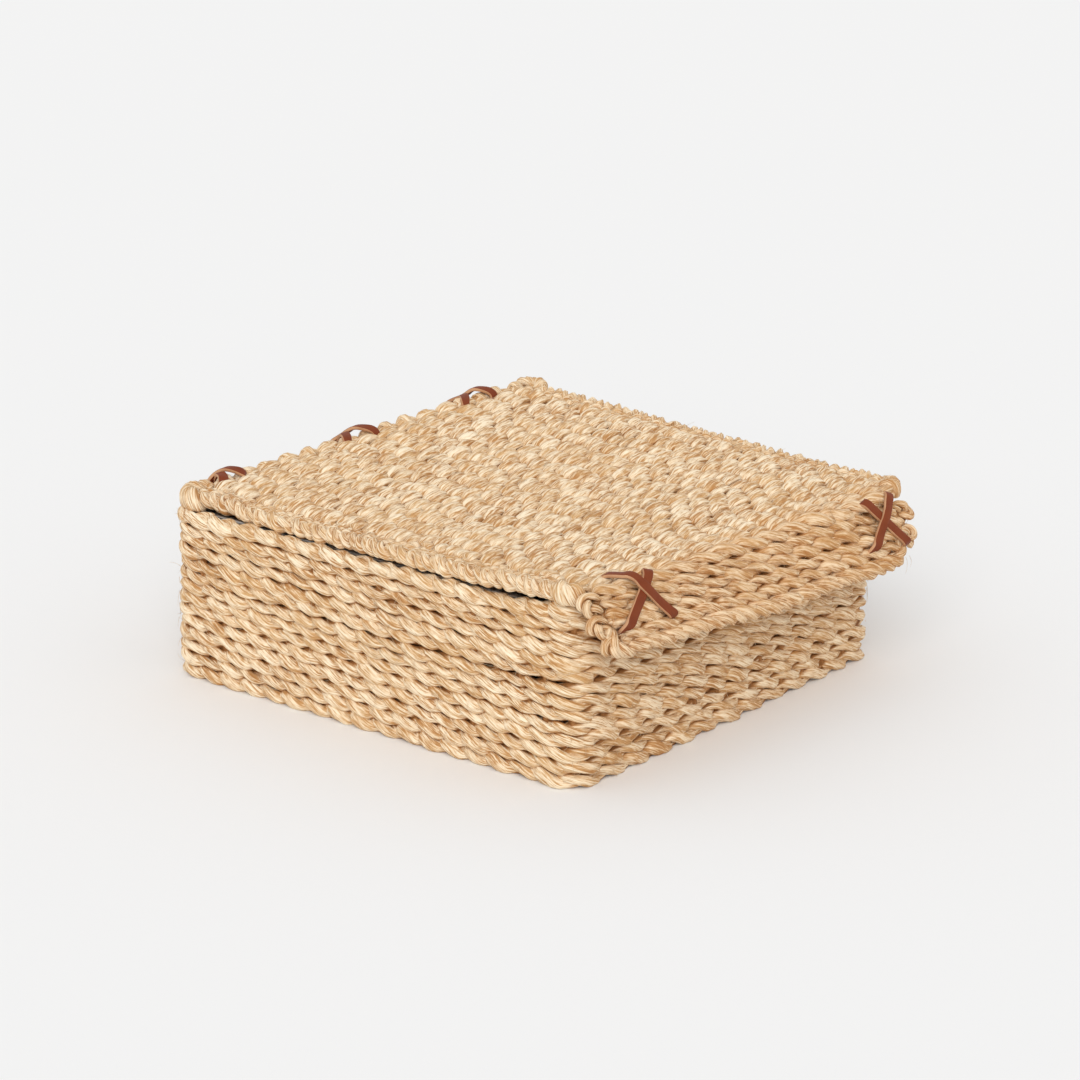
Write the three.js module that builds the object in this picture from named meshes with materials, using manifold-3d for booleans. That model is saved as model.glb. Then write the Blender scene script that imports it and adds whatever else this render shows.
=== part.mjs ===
// Woven napkin box: a twined basket on a wire frame, with a lid laced to its back rim
// and a flap laced to the lid's front edge. Millimetres, +Z up.
// The origin is the centre of the underside. +X runs right along the flap, +Y towards the hinge.

import * as THREE from "three";
import { mergeVertices } from "three/addons/utils/BufferGeometryUtils.js";
import Module from "manifold-3d";

const wasm = await Module();
wasm.setup();

// Basket sizes
const BASKET_WIDTH = 190;
const BASKET_DEPTH = 202;
const CORNER_RADIUS = 12;
const WALL_THICKNESS = 8.6;
const COURSE_COUNT = 13;
const COURSE_PITCH = 4.7;
const CORD_ROUNDING = 1.4;
const RIM_HEIGHT = 5.4;
const RIM_ROUNDING = 1.9;
const BASE_THICKNESS = 6;

// Wire frame sizes
const WIRE_DIAMETER = 3.2;
const RIM_WIRE_DROP = 2.6;

// Lid sizes
const LID_SIDE_OVERHANG = 6;
const LID_FRONT_OVERHANG = 1.5;
const LID_THICKNESS = 6.2;
const LID_SAG = 1.2;
const LID_FRONT_CURL = 3.7;
const LID_RIGHT_RISE = 0.8;
const LID_RIGHT_FALL = 0.85;
const LID_EDGE_DROOP = 3.6;
const LID_SELVEDGE = 8;
const LID_BORDER = 7;
const LID_SHIFT = 12;
const LID_YAW = -2;
const HINGE_FROM_BACK_FACE = 2.5;
const HINGE_RISE = 1.8;
const HINGE_TO_LID = 4;

// Flap sizes
const FLAP_INSET = 4.5;
const FLAP_LENGTH = 27.5;
const FLAP_THICKNESS = 7.2;
const FLAP_SHIFT = -5.5;
const FLAP_ANGLE = 26;
const FLAP_TILT = 1.5;
const FLAP_FOLD_DROP = 0.3;
const FLAP_SELVEDGE = 8;
const FLAP_BORDER = 7;
const FLAP_CORNER_RADIUS = 5;

// Lace sizes
const LACE_WIDTH = 3.2;
const LACE_THICKNESS = 1.3;
const LACE_TAIL = 6;
const HINGE_LACE_FROM_SIDE = 22.5;
const HINGE_LACE_SHIFT = 9.5;
const HINGE_LACE_CROSS = 15;
const HINGE_LACE_FROM_EDGE = 10;
const HINGE_FOOT_FROM_SIDE = 25;
const HINGE_FOOT_SHIFT = 4;
const HINGE_FOOT_CROSS = 12;
const FLAP_LACE_LENGTH = 17.5;
const LEFT_LACE_FROM_END = 29.5;
const LEFT_LACE_CROSS = 13;
const LEFT_LACE_LEAN = -1;
const LEFT_LACE_FOOT = 29;
const RIGHT_LACE_FROM_END = 22;
const RIGHT_LACE_CROSS = 19;
const RIGHT_LACE_LEAN = -2.3;
const RIGHT_LACE_FOOT = 21.4;

// Clearances
const WEAVE_GAP = 0.3;
const LACE_CLEARANCE = 0.3;
const LACE_LIFT = 0.35;

// Worked-out heights and places
const RIM_BOTTOM = COURSE_COUNT * COURSE_PITCH;
const RIM_TOP = RIM_BOTTOM + RIM_HEIGHT;
const LID_UNDERSIDE = RIM_TOP + WEAVE_GAP;
const LID_WIDTH = BASKET_WIDTH + 2 * LID_SIDE_OVERHANG;
const LID_DEPTH = BASKET_DEPTH - HINGE_FROM_BACK_FACE - HINGE_TO_LID + LID_FRONT_OVERHANG;
const FLAP_WIDTH = LID_WIDTH - 2 * FLAP_INSET;
const HINGE_Y = BASKET_DEPTH / 2 - HINGE_FROM_BACK_FACE;
const HINGE_Z = RIM_TOP + HINGE_RISE;
const LID_BACK = -HINGE_TO_LID;
const LID_FRONT = LID_BACK - LID_DEPTH;
const LID_LOW = LID_UNDERSIDE - HINGE_Z;
const FLAP_AXIS_Y = LID_FRONT - WEAVE_GAP - FLAP_THICKNESS / 2;

// Materials
const straw = new THREE.MeshStandardMaterial({ color: 0xd8b27c, roughness: 0.75, metalness: 0 });
const shadedStraw = new THREE.MeshStandardMaterial({ color: 0xc69c64, roughness: 0.8, metalness: 0 });
const leather = new THREE.MeshStandardMaterial({ color: 0x8a4634, roughness: 0.55, metalness: 0 });
const steel = new THREE.MeshStandardMaterial({ color: 0x8d8c8a, roughness: 0.35, metalness: 1 });

const degrees = THREE.MathUtils.degToRad;

// Solid helpers

function solidOf(geometry) {
  const bare = geometry.clone();
  bare.deleteAttribute("normal");
  bare.deleteAttribute("uv");
  const merged = mergeVertices(bare, 1e-4);
  const vertProperties = new Float32Array(merged.attributes.position.array);
  const triVerts = new Uint32Array(merged.index.array);
  return new wasm.Manifold(new wasm.Mesh({ numProp: 3, vertProperties, triVerts }));
}

function geometryOf(solid) {
  const mesh = solid.getMesh();
  const geometry = new THREE.BufferGeometry();
  geometry.setAttribute("position", new THREE.BufferAttribute(mesh.vertProperties, 3));
  geometry.setIndex(new THREE.BufferAttribute(mesh.triVerts, 1));
  return geometry;
}

function part(name, geometry, material) {
  const mesh = new THREE.Mesh(geometry, material);
  mesh.name = name;
  return mesh;
}

function cut(geometry, passages) {
  let solid = solidOf(geometry);
  for (const passage of passages) solid = solid.subtract(passage);
  return geometryOf(solid);
}

// Plan outlines

function roundedRectangle(width, depth, radius) {
  const x = width / 2;
  const y = depth / 2;
  const shape = new THREE.Shape();
  shape.moveTo(-x + radius, -y);
  shape.lineTo(x - radius, -y);
  shape.absarc(x - radius, -y + radius, radius, -Math.PI / 2, 0);
  shape.lineTo(x, y - radius);
  shape.absarc(x - radius, y - radius, radius, 0, Math.PI / 2);
  shape.lineTo(-x + radius, y);
  shape.absarc(-x + radius, y - radius, radius, Math.PI / 2, Math.PI);
  shape.lineTo(-x, -y + radius);
  shape.absarc(-x + radius, -y + radius, radius, Math.PI, 1.5 * Math.PI);
  return shape;
}

// Basket pieces

// A course is a closed cord ring with a flat top and bottom and rounded flanks.
function cordRing(height, rounding) {
  const outline = roundedRectangle(BASKET_WIDTH, BASKET_DEPTH, CORNER_RADIUS);
  const inner = roundedRectangle(
    BASKET_WIDTH - 2 * WALL_THICKNESS,
    BASKET_DEPTH - 2 * WALL_THICKNESS,
    CORNER_RADIUS - WALL_THICKNESS,
  );
  outline.holes.push(inner);
  const geometry = new THREE.ExtrudeGeometry(outline, {
    depth: height - 2 * rounding,
    bevelThickness: rounding,
    bevelSize: rounding,
    bevelOffset: -rounding,
    bevelSegments: 1,
    curveSegments: 4,
  });
  return geometry.translate(0, 0, rounding);
}

function baseMat() {
  const inset = 2 * (WALL_THICKNESS + WEAVE_GAP);
  const outline = roundedRectangle(
    BASKET_WIDTH - inset,
    BASKET_DEPTH - inset,
    CORNER_RADIUS - WALL_THICKNESS - WEAVE_GAP,
  );
  return new THREE.ExtrudeGeometry(outline, {
    depth: BASE_THICKNESS,
    bevelEnabled: false,
    curveSegments: 4,
  });
}

// The wire's centre line lies inside the wall, one clearance and half a wire in.
const WIRE_INSET = WALL_THICKNESS + WEAVE_GAP + WIRE_DIAMETER / 2;
const WIRE_CORNER = CORNER_RADIUS - WALL_THICKNESS + WIRE_DIAMETER;

function wireRing() {
  const x = BASKET_WIDTH / 2 - WIRE_INSET - WIRE_CORNER;
  const y = BASKET_DEPTH / 2 - WIRE_INSET - WIRE_CORNER;
  const corners = [
    [x, -y, -Math.PI / 2],
    [x, y, 0],
    [-x, y, Math.PI / 2],
    [-x, -y, Math.PI],
  ];
  const centres = [];
  const cornerSteps = 4;
  for (const [cx, cy, start] of corners) {
    for (let i = 0; i <= cornerSteps; i += 1) {
      const angle = start + (i / cornerSteps) * (Math.PI / 2);
      centres.push([cx, cy, angle]);
    }
  }
  return tubeRing(centres);
}

// Closed tube whose sections stand square to the ring, one per centre-line point.
function tubeRing(centres) {
  const sides = 8;
  const radius = WIRE_DIAMETER / 2;
  const positions = [];
  for (const [cx, cy, angle] of centres) {
    for (let side = 0; side < sides; side += 1) {
      const turn = (side / sides) * 2 * Math.PI;
      const reach = WIRE_CORNER + radius * Math.cos(turn);
      positions.push(cx + reach * Math.cos(angle), cy + reach * Math.sin(angle), radius * Math.sin(turn));
    }
  }
  return bandGeometry(positions, sides, true);
}

// Joins rings of points, one after another, into a closed surface.
function bandGeometry(positions, sides, closed) {
  const rings = positions.length / 3 / sides;
  const index = [];
  const last = closed ? rings : rings - 1;
  for (let ring = 0; ring < last; ring += 1) {
    const here = ring * sides;
    const next = ((ring + 1) % rings) * sides;
    for (let side = 0; side < sides; side += 1) {
      const other = (side + 1) % sides;
      index.push(here + side, next + side, next + other);
      index.push(here + side, next + other, here + other);
    }
  }
  if (!closed) {
    const end = (rings - 1) * sides;
    for (let side = 1; side < sides - 1; side += 1) {
      index.push(0, side, side + 1);
      index.push(end, end + side + 1, end + side);
    }
  }
  const geometry = new THREE.BufferGeometry();
  geometry.setAttribute("position", new THREE.Float32BufferAttribute(positions, 3));
  geometry.setIndex(index);
  return geometry;
}

function framePost(alongX, alongY) {
  const low = BASE_THICKNESS + WEAVE_GAP + WIRE_DIAMETER + WEAVE_GAP;
  const high = RIM_TOP - RIM_WIRE_DROP - WIRE_DIAMETER / 2 - WEAVE_GAP;
  const cornerInset = WIRE_CORNER * (1 - Math.SQRT1_2);
  const post = new THREE.CylinderGeometry(WIRE_DIAMETER / 2, WIRE_DIAMETER / 2, high - low, 12);
  post.rotateX(Math.PI / 2);
  post.translate(
    alongX * (BASKET_WIDTH / 2 - WIRE_INSET - cornerInset),
    alongY * (BASKET_DEPTH / 2 - WIRE_INSET - cornerInset),
    (low + high) / 2,
  );
  return post;
}

// Lid pieces, in the lid's own frame with the hinge axis along X through its origin

const LID_SIDE = LID_WIDTH / 2;
const MAT_SIDE = LID_SIDE - LID_SELVEDGE - WEAVE_GAP;
const MAT_BACK = LID_BACK - LID_BORDER - WEAVE_GAP;
const MAT_FRONT = LID_FRONT + LID_BORDER + WEAVE_GAP;

// How high the weave lies above its back left corner at the plan point (x, y). It curls up
// towards the front left, falls along the right side, sags in the middle of its depth and
// droops where the right selvedge overhangs the wall.
function lidRise(x, y) {
  const right = x / LID_WIDTH + 0.5;
  const front = (LID_BACK - y) / LID_DEPTH;
  const past = Math.max(0, x - MAT_SIDE) / LID_SELVEDGE;
  const curl = LID_FRONT_CURL * (1 - right) ** 2 * front;
  const slope = right * (LID_RIGHT_RISE - LID_RIGHT_FALL * front);
  const sag = LID_SAG * (1 - right ** 2) * 4 * front * (1 - front);
  return curl + slope - sag - LID_EDGE_DROOP * past * front;
}

const FLAP_AXIS_Z = LID_LOW + LID_THICKNESS / 2 + lidRise(FLAP_SHIFT, LID_FRONT) - FLAP_FOLD_DROP;

function hang(geometry) {
  const position = geometry.attributes.position;
  for (let i = 0; i < position.count; i += 1) {
    position.setZ(i, position.getZ(i) + lidRise(position.getX(i), position.getY(i)));
  }
  return geometry;
}

// A slab of weave between two plan corners, with enough steps to take up the sag.
function lidSlab(x0, x1, y0, y1, stepsX, stepsY) {
  const slab = new THREE.BoxGeometry(x1 - x0, y1 - y0, LID_THICKNESS, stepsX, stepsY, 1);
  slab.translate((x0 + x1) / 2, (y0 + y1) / 2, LID_LOW + LID_THICKNESS / 2);
  return hang(slab);
}

// A selvedge is an eight-sided cord that lies along Y from the front edge to the back.
function lidSelvedge(side) {
  const steps = 12;
  const halfWidth = LID_SELVEDGE / 2;
  const halfHeight = LID_THICKNESS / 2;
  const cord = new THREE.CylinderGeometry(1, 1, LID_DEPTH, 8, steps);
  cord.rotateY(Math.PI / 8);
  const reach = 1 / Math.cos(Math.PI / 8);
  cord.scale(halfWidth * reach, 1, halfHeight * reach);
  cord.translate(side * (LID_SIDE - halfWidth), LID_BACK - LID_DEPTH / 2, LID_LOW + halfHeight);
  return hang(cord);
}

// Flap pieces, in the flap's own frame: the axis along X, the flap hanging towards -Z

const FLAP_SIDE = FLAP_WIDTH / 2;
const FLAP_MAT_TOP = -FLAP_THICKNESS / 2 - WEAVE_GAP;
const FLAP_MAT_BOTTOM = -FLAP_LENGTH + FLAP_BORDER + WEAVE_GAP;

function flapTopRow() {
  const row = new THREE.CylinderGeometry(FLAP_THICKNESS / 2, FLAP_THICKNESS / 2, FLAP_WIDTH, 16);
  return row.rotateZ(Math.PI / 2);
}

function flapMat() {
  const width = FLAP_WIDTH - 2 * (FLAP_SELVEDGE + WEAVE_GAP);
  const height = FLAP_MAT_TOP - FLAP_MAT_BOTTOM;
  const mat = new THREE.BoxGeometry(width, FLAP_THICKNESS, height);
  return mat.translate(0, 0, (FLAP_MAT_TOP + FLAP_MAT_BOTTOM) / 2);
}

function flapSelvedge(side) {
  const height = FLAP_MAT_TOP - FLAP_MAT_BOTTOM;
  const reach = 1 / Math.cos(Math.PI / 8);
  const cord = new THREE.CylinderGeometry(1, 1, height, 8);
  cord.rotateY(Math.PI / 8);
  cord.scale((FLAP_SELVEDGE / 2) * reach, 1, (FLAP_THICKNESS / 2) * reach);
  cord.rotateX(Math.PI / 2);
  cord.translate(side * (FLAP_SIDE - FLAP_SELVEDGE / 2), 0, (FLAP_MAT_TOP + FLAP_MAT_BOTTOM) / 2);
  return cord;
}

// The border lies along the lower edge and has its two lower corners rounded off.
function flapBorder() {
  const top = -FLAP_LENGTH + FLAP_BORDER;
  const bottom = -FLAP_LENGTH;
  const radius = Math.min(FLAP_CORNER_RADIUS, FLAP_BORDER - 1.2 * CORD_ROUNDING);
  const outline = new THREE.Shape();
  outline.moveTo(-FLAP_SIDE, top);
  outline.lineTo(-FLAP_SIDE, bottom + radius);
  outline.absarc(-FLAP_SIDE + radius, bottom + radius, radius, Math.PI, 1.5 * Math.PI);
  outline.lineTo(FLAP_SIDE - radius, bottom);
  outline.absarc(FLAP_SIDE - radius, bottom + radius, radius, -Math.PI / 2, 0);
  outline.lineTo(FLAP_SIDE, top);
  const border = new THREE.ExtrudeGeometry(outline, {
    depth: FLAP_THICKNESS - 2 * CORD_ROUNDING,
    bevelThickness: CORD_ROUNDING,
    bevelSize: CORD_ROUNDING,
    bevelOffset: -CORD_ROUNDING,
    bevelSegments: 1,
    curveSegments: 4,
  });
  border.translate(0, 0, -FLAP_THICKNESS / 2 + CORD_ROUNDING);
  return border.rotateX(Math.PI / 2);
}

// Laces

// A flat strap along a path of [y, z] points. Between the points crossFrom and crossTo it
// slides sideways from startX to endX, in step with its length. grow widens it on every
// side, for the passage that it lies in.
function strap(path, crossFrom, crossTo, startX, endX, grow) {
  const halfWidth = LACE_WIDTH / 2 + grow;
  const halfThickness = LACE_THICKNESS / 2 + grow;
  const points = path.map(([y, z]) => new THREE.Vector2(y, z));
  const last = points.length - 1;
  const lengths = [0];
  for (let i = 1; i <= last; i += 1) {
    lengths.push(lengths[i - 1] + points[i].distanceTo(points[i - 1]));
  }
  const positions = [];
  for (let i = 0; i <= last; i += 1) {
    const before = points[i].clone().sub(points[Math.max(0, i - 1)]).normalize();
    const after = points[Math.min(last, i + 1)].clone().sub(points[i]).normalize();
    const way = before.clone().add(after).normalize();
    const spread = i > 0 && i < last ? 1 / way.dot(after) : 1;
    const normal = new THREE.Vector2(-way.y, way.x).multiplyScalar(halfThickness * spread);
    let past = 0;
    if (i === 0) past = -grow;
    if (i === last) past = grow;
    const centre = points[i].clone().addScaledVector(way, past);
    const crossed = (lengths[i] - lengths[crossFrom]) / (lengths[crossTo] - lengths[crossFrom]);
    const x = THREE.MathUtils.lerp(startX, endX, THREE.MathUtils.clamp(crossed, 0, 1));
    const upper = centre.clone().add(normal);
    const lower = centre.clone().sub(normal);
    positions.push(x - halfWidth, lower.x, lower.y, x + halfWidth, lower.x, lower.y);
    positions.push(x + halfWidth, upper.x, upper.y, x - halfWidth, upper.x, upper.y);
  }
  return bandGeometry(positions, 4, false);
}

// Two straps that cross: each goes from one of the starts to the other side's end.
function crossedLace(path, crossFrom, crossTo, starts, ends) {
  const one = strap(path, crossFrom, crossTo, starts[0], ends[1], 0);
  const other = strap(path, crossFrom, crossTo, starts[1], ends[0], 0);
  return geometryOf(solidOf(one).add(solidOf(other)));
}

// Two places at the given spacing, centred at x.
const pair = (x, spacing) => [x - spacing / 2, x + spacing / 2];

function lacePassages(path, crossFrom, crossTo, starts, ends) {
  return [
    strap(path, crossFrom, crossTo, starts[0], ends[1], LACE_CLEARANCE),
    strap(path, crossFrom, crossTo, starts[1], ends[0], LACE_CLEARANCE),
  ];
}

const LACE_OFFSET = LACE_LIFT + LACE_THICKNESS / 2;

// The hinge laces pass into the basket between the two topmost courses.
const LACED_COURSE = COURSE_COUNT - 1;

// From a tail under the lid, up through the mat, over the back edge, down the back wall
// and in between two courses to a tail inside the basket. Basket frame.
function hingeLacePath(x) {
  const back = HINGE_Y + LID_BACK + (x - LID_SHIFT) * Math.tan(degrees(LID_YAW));
  const slot = back - HINGE_LACE_FROM_EDGE;
  const riseAt = (inFromEdge) => lidRise(x - LID_SHIFT, LID_BACK - inFromEdge);
  const under = LID_UNDERSIDE - LACE_OFFSET;
  const over = LID_UNDERSIDE + LID_THICKNESS + LACE_OFFSET;
  const outside = BASKET_DEPTH / 2 + LACE_OFFSET;
  const inside = BASKET_DEPTH / 2 - WALL_THICKNESS - LACE_OFFSET;
  const hole = LACED_COURSE * COURSE_PITCH;
  return [
    [slot - LACE_TAIL, under + riseAt(HINGE_LACE_FROM_EDGE + LACE_TAIL)],
    [slot, under + riseAt(HINGE_LACE_FROM_EDGE)],
    [slot, over + riseAt(HINGE_LACE_FROM_EDGE)],
    [back + LACE_OFFSET, over + riseAt(0)],
    [outside, RIM_TOP],
    [outside, hole],
    [inside, hole],
    [inside, hole - LACE_TAIL],
  ];
}

// From inside the lid's front row, up through the fold, over the flap's top row, down its
// face and through the mat to a tail behind it. Lid frame.
function flapLacePath() {
  const tilt = degrees(FLAP_ANGLE);
  const reach = FLAP_THICKNESS / 2 + LACE_OFFSET;
  const around = (angle) => [
    FLAP_AXIS_Y + reach * Math.cos(angle),
    FLAP_AXIS_Z + reach * Math.sin(angle),
  ];
  const alongFlap = (down, out) => [
    FLAP_AXIS_Y - down * Math.sin(tilt) - out * Math.cos(tilt),
    FLAP_AXIS_Z - down * Math.cos(tilt) + out * Math.sin(tilt),
  ];
  const fold = LID_FRONT - LACE_THICKNESS / 2;
  const path = [
    [LID_FRONT + LACE_TAIL, FLAP_AXIS_Z],
    [fold, FLAP_AXIS_Z],
    [fold, FLAP_AXIS_Z + FLAP_THICKNESS / 2],
  ];
  const arcSteps = 3;
  const arcStart = degrees(80);
  const arcEnd = Math.PI - tilt;
  for (let i = 0; i <= arcSteps; i += 1) {
    path.push(around(THREE.MathUtils.lerp(arcStart, arcEnd, i / arcSteps)));
  }
  path.push(alongFlap(FLAP_LACE_LENGTH, reach));
  path.push(alongFlap(FLAP_LACE_LENGTH, -reach));
  path.push(alongFlap(FLAP_LACE_LENGTH - LACE_TAIL, -reach));
  return path;
}

// Frames of the two moving pieces

const lid = new THREE.Group();
lid.position.set(LID_SHIFT, HINGE_Y, HINGE_Z);
lid.rotation.z = degrees(LID_YAW);
lid.updateMatrix();

const flap = new THREE.Group();
flap.position.set(FLAP_SHIFT, FLAP_AXIS_Y, FLAP_AXIS_Z);
flap.rotation.set(-degrees(FLAP_ANGLE), degrees(FLAP_TILT), 0, "YXZ");
flap.updateMatrix();

function movedInto(group, geometries) {
  const inverse = group.matrix.clone().invert();
  return geometries.map((geometry) => solidOf(geometry.clone().applyMatrix4(inverse)));
}

// Assembly

const basket = new THREE.Group();
basket.add(part("base_mat", baseMat(), straw));

// The hinge laces start in the lid further right than they end in the back wall.
const hingeLaceSide = BASKET_WIDTH / 2 - HINGE_LACE_FROM_SIDE;
const hingeFootSide = BASKET_WIDTH / 2 - HINGE_FOOT_FROM_SIDE;
const hingeLaces = [
  ["left", -1],
  ["middle", 0],
  ["right", 1],
];
const hingePassages = [];
for (const [side, place] of hingeLaces) {
  const x = HINGE_LACE_SHIFT + place * hingeLaceSide;
  const starts = pair(x, HINGE_LACE_CROSS);
  const ends = pair(HINGE_FOOT_SHIFT + place * hingeFootSide, HINGE_FOOT_CROSS);
  const path = hingeLacePath(x);
  hingePassages.push(...lacePassages(path, 2, 5, starts, ends));
  basket.add(part(`hinge_lace_${side}`, crossedLace(path, 2, 5, starts, ends), leather));
}
const hingePassageSolids = hingePassages.map(solidOf);

for (let i = 1; i <= COURSE_COUNT; i += 1) {
  let course = cordRing(COURSE_PITCH, CORD_ROUNDING).translate(0, 0, (i - 1) * COURSE_PITCH);
  const laced = i >= LACED_COURSE;
  if (laced) course = cut(course, hingePassageSolids);
  basket.add(part(`wall_course_${String(i).padStart(2, "0")}`, course, straw));
}
const rim = cordRing(RIM_HEIGHT, RIM_ROUNDING).translate(0, 0, RIM_BOTTOM);
basket.add(part("rim_border", cut(rim, hingePassageSolids), straw));

const baseRing = wireRing().translate(0, 0, BASE_THICKNESS + WEAVE_GAP + WIRE_DIAMETER / 2);
basket.add(part("frame_base_ring", baseRing, steel));
basket.add(part("frame_rim_ring", wireRing().translate(0, 0, RIM_TOP - RIM_WIRE_DROP), steel));
basket.add(part("frame_post_front_left", framePost(-1, -1), steel));
basket.add(part("frame_post_front_right", framePost(1, -1), steel));
basket.add(part("frame_post_back_left", framePost(-1, 1), steel));
basket.add(part("frame_post_back_right", framePost(1, 1), steel));

// The flap laces follow the fold, which falls to the right about the middle of the flap.
const foldSlope = new THREE.Matrix4()
  .makeTranslation(FLAP_SHIFT, FLAP_AXIS_Y, FLAP_AXIS_Z)
  .multiply(new THREE.Matrix4().makeRotationY(degrees(FLAP_TILT)))
  .multiply(new THREE.Matrix4().makeTranslation(-FLAP_SHIFT, -FLAP_AXIS_Y, -FLAP_AXIS_Z));

// Where the flap laces start at the fold and end on the flap, across the lid from its centre.
const leftLace = FLAP_SHIFT - FLAP_SIDE + LEFT_LACE_FROM_END;
const rightLace = FLAP_SHIFT + FLAP_SIDE - RIGHT_LACE_FROM_END;
const flapLaces = [
  ["left", pair(leftLace, LEFT_LACE_CROSS), pair(leftLace + LEFT_LACE_LEAN, LEFT_LACE_FOOT)],
  ["right", pair(rightLace, RIGHT_LACE_CROSS), pair(rightLace + RIGHT_LACE_LEAN, RIGHT_LACE_FOOT)],
];
const flapPassages = [];
for (const [side, starts, ends] of flapLaces) {
  const path = flapLacePath();
  const crossTo = path.length - 3;
  const passages = lacePassages(path, 2, crossTo, starts, ends);
  for (const passage of passages) flapPassages.push(passage.applyMatrix4(foldSlope));
  const lace = crossedLace(path, 2, crossTo, starts, ends).applyMatrix4(foldSlope);
  lid.add(part(`flap_lace_${side}`, lace, leather));
}

const lidCuts = [...movedInto(lid, hingePassages), ...flapPassages.map(solidOf)];
const across = 10;
const mat = lidSlab(-MAT_SIDE, MAT_SIDE, MAT_FRONT, MAT_BACK, across, 12);
const backBorder = lidSlab(-MAT_SIDE, MAT_SIDE, MAT_BACK + WEAVE_GAP, LID_BACK, across, 1);
const frontRow = lidSlab(-MAT_SIDE, MAT_SIDE, LID_FRONT, MAT_FRONT - WEAVE_GAP, across, 1);
lid.add(part("lid_mat", cut(mat, lidCuts), straw));
lid.add(part("lid_back_border", cut(backBorder, lidCuts), straw));
lid.add(part("lid_front_row", cut(frontRow, lidCuts), straw));
lid.add(part("lid_selvedge_left", cut(lidSelvedge(-1), lidCuts), straw));
lid.add(part("lid_selvedge_right", cut(lidSelvedge(1), lidCuts), straw));

const flapCuts = movedInto(flap, flapPassages);
flap.add(part("flap_top_row", cut(flapTopRow(), flapCuts), shadedStraw));
flap.add(part("flap_mat", cut(flapMat(), flapCuts), shadedStraw));
flap.add(part("flap_selvedge_left", cut(flapSelvedge(-1), flapCuts), shadedStraw));
flap.add(part("flap_selvedge_right", cut(flapSelvedge(1), flapCuts), shadedStraw));
flap.add(part("flap_border", cut(flapBorder(), flapCuts), shadedStraw));

lid.add(flap);
const group = new THREE.Group();
group.add(basket, lid);

export default group;
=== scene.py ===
"""Woven napkin box: the twined weave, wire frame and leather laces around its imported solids.

Shapes are worked out in millimetres and put into the meshes in metres. The weave is pairwise
twining: in every row two bundles of fibre wind round each other, before and behind the stakes.
"""

import math

import bpy
import numpy as np
from bpy.props import FloatProperty, FloatVectorProperty, IntProperty, PointerProperty
from mathutils import Matrix, Vector


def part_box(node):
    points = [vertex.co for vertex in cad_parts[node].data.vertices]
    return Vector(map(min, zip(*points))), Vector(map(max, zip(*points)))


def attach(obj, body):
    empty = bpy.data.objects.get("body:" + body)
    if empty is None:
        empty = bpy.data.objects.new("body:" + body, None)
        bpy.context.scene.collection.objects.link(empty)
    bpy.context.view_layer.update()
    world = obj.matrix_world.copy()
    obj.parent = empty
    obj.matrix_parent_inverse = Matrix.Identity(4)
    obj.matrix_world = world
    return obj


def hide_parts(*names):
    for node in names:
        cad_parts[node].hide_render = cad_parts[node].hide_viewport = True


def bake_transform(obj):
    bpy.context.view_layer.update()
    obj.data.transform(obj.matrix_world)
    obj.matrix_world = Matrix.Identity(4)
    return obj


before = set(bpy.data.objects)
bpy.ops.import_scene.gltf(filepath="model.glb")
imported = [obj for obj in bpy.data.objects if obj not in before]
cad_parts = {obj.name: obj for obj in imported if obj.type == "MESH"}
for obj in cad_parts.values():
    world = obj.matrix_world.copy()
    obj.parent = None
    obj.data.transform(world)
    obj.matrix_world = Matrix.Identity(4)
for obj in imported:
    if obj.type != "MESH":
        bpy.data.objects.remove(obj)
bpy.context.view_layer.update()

bl_info = {
    "name": "Woven napkin box",
    "version": (1, 0, 0),
    "blender": (4, 5, 0),
    "location": "3D View > Sidebar > Napkin box",
    "description": "Builds a twined napkin box with a laced lid and flap",
    "category": "Add Mesh",
}


# Sizes and colours


def amount(name, description, default):
    return IntProperty(name=name, description=description, default=default)


def length(name, description, default):
    return FloatProperty(name=name, description=description, default=default, unit="LENGTH")


def colour(name, description, default):
    return FloatVectorProperty(
        name=name, description=description, default=default, subtype="COLOR", size=3, min=0, max=1
    )


LID_ROWS = 38


class NapkinBoxWeave(bpy.types.PropertyGroup):
    front_stitches: amount("Stitches on the front", "Stitches of a course on the front and back", 13)
    side_stitches: amount("Stitches on a side", "Stitches of a course on the left and right", 17)
    lid_rows: amount("Lid rows", "Rows of twining in the lid", LID_ROWS)
    lid_stitches: amount("Lid stitches", "Stitches in a row of the lid", 17)
    flap_rows: amount("Flap rows", "Rows of twining below the flap's fold", 5)
    flap_stitches: amount("Flap stitches", "Stitches in a row of the flap", 14)
    base_rows: amount("Base rows", "Rows of twining in the base", 36)
    steps: amount("Steps", "Steps along one stitch", 12)
    sides: amount("Sides", "Points round one bundle of fibre", 12)
    swing_out: length("Swing outwards", "How far a bundle swings before and behind the stakes", 0.0014)
    swing_up: length("Swing upwards", "How far a bundle rises and falls in its row", 0.00098)
    depth: length("Bundle depth", "Half the depth of a bundle at the middle of a stitch", 0.0021)
    pale: colour("Pale fibre", "Colour of the palest fibre", (0.99, 0.84, 0.62))
    straw: colour("Straw fibre", "Colour of most of the fibre", (0.66, 0.405, 0.185))
    # Tan is also the colour of the painted warm bounce light round the painted gap shade.
    tan: colour("Tan fibre", "Colour of the warm streaks", (0.45, 0.20, 0.062))
    # Painted warm shade: a darker, warmer colour multiplied into the fibre of the front side.
    front_warm_shade: colour("Honey tint", "Colour that dyes the fibre of the front side", (0.915, 0.825, 0.74))
    # Painted shade: the colour that stands for the shade deep between the bundles.
    gap: colour("Gaps", "Colour deep between the bundles", (0.24, 0.10, 0.032))


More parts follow.
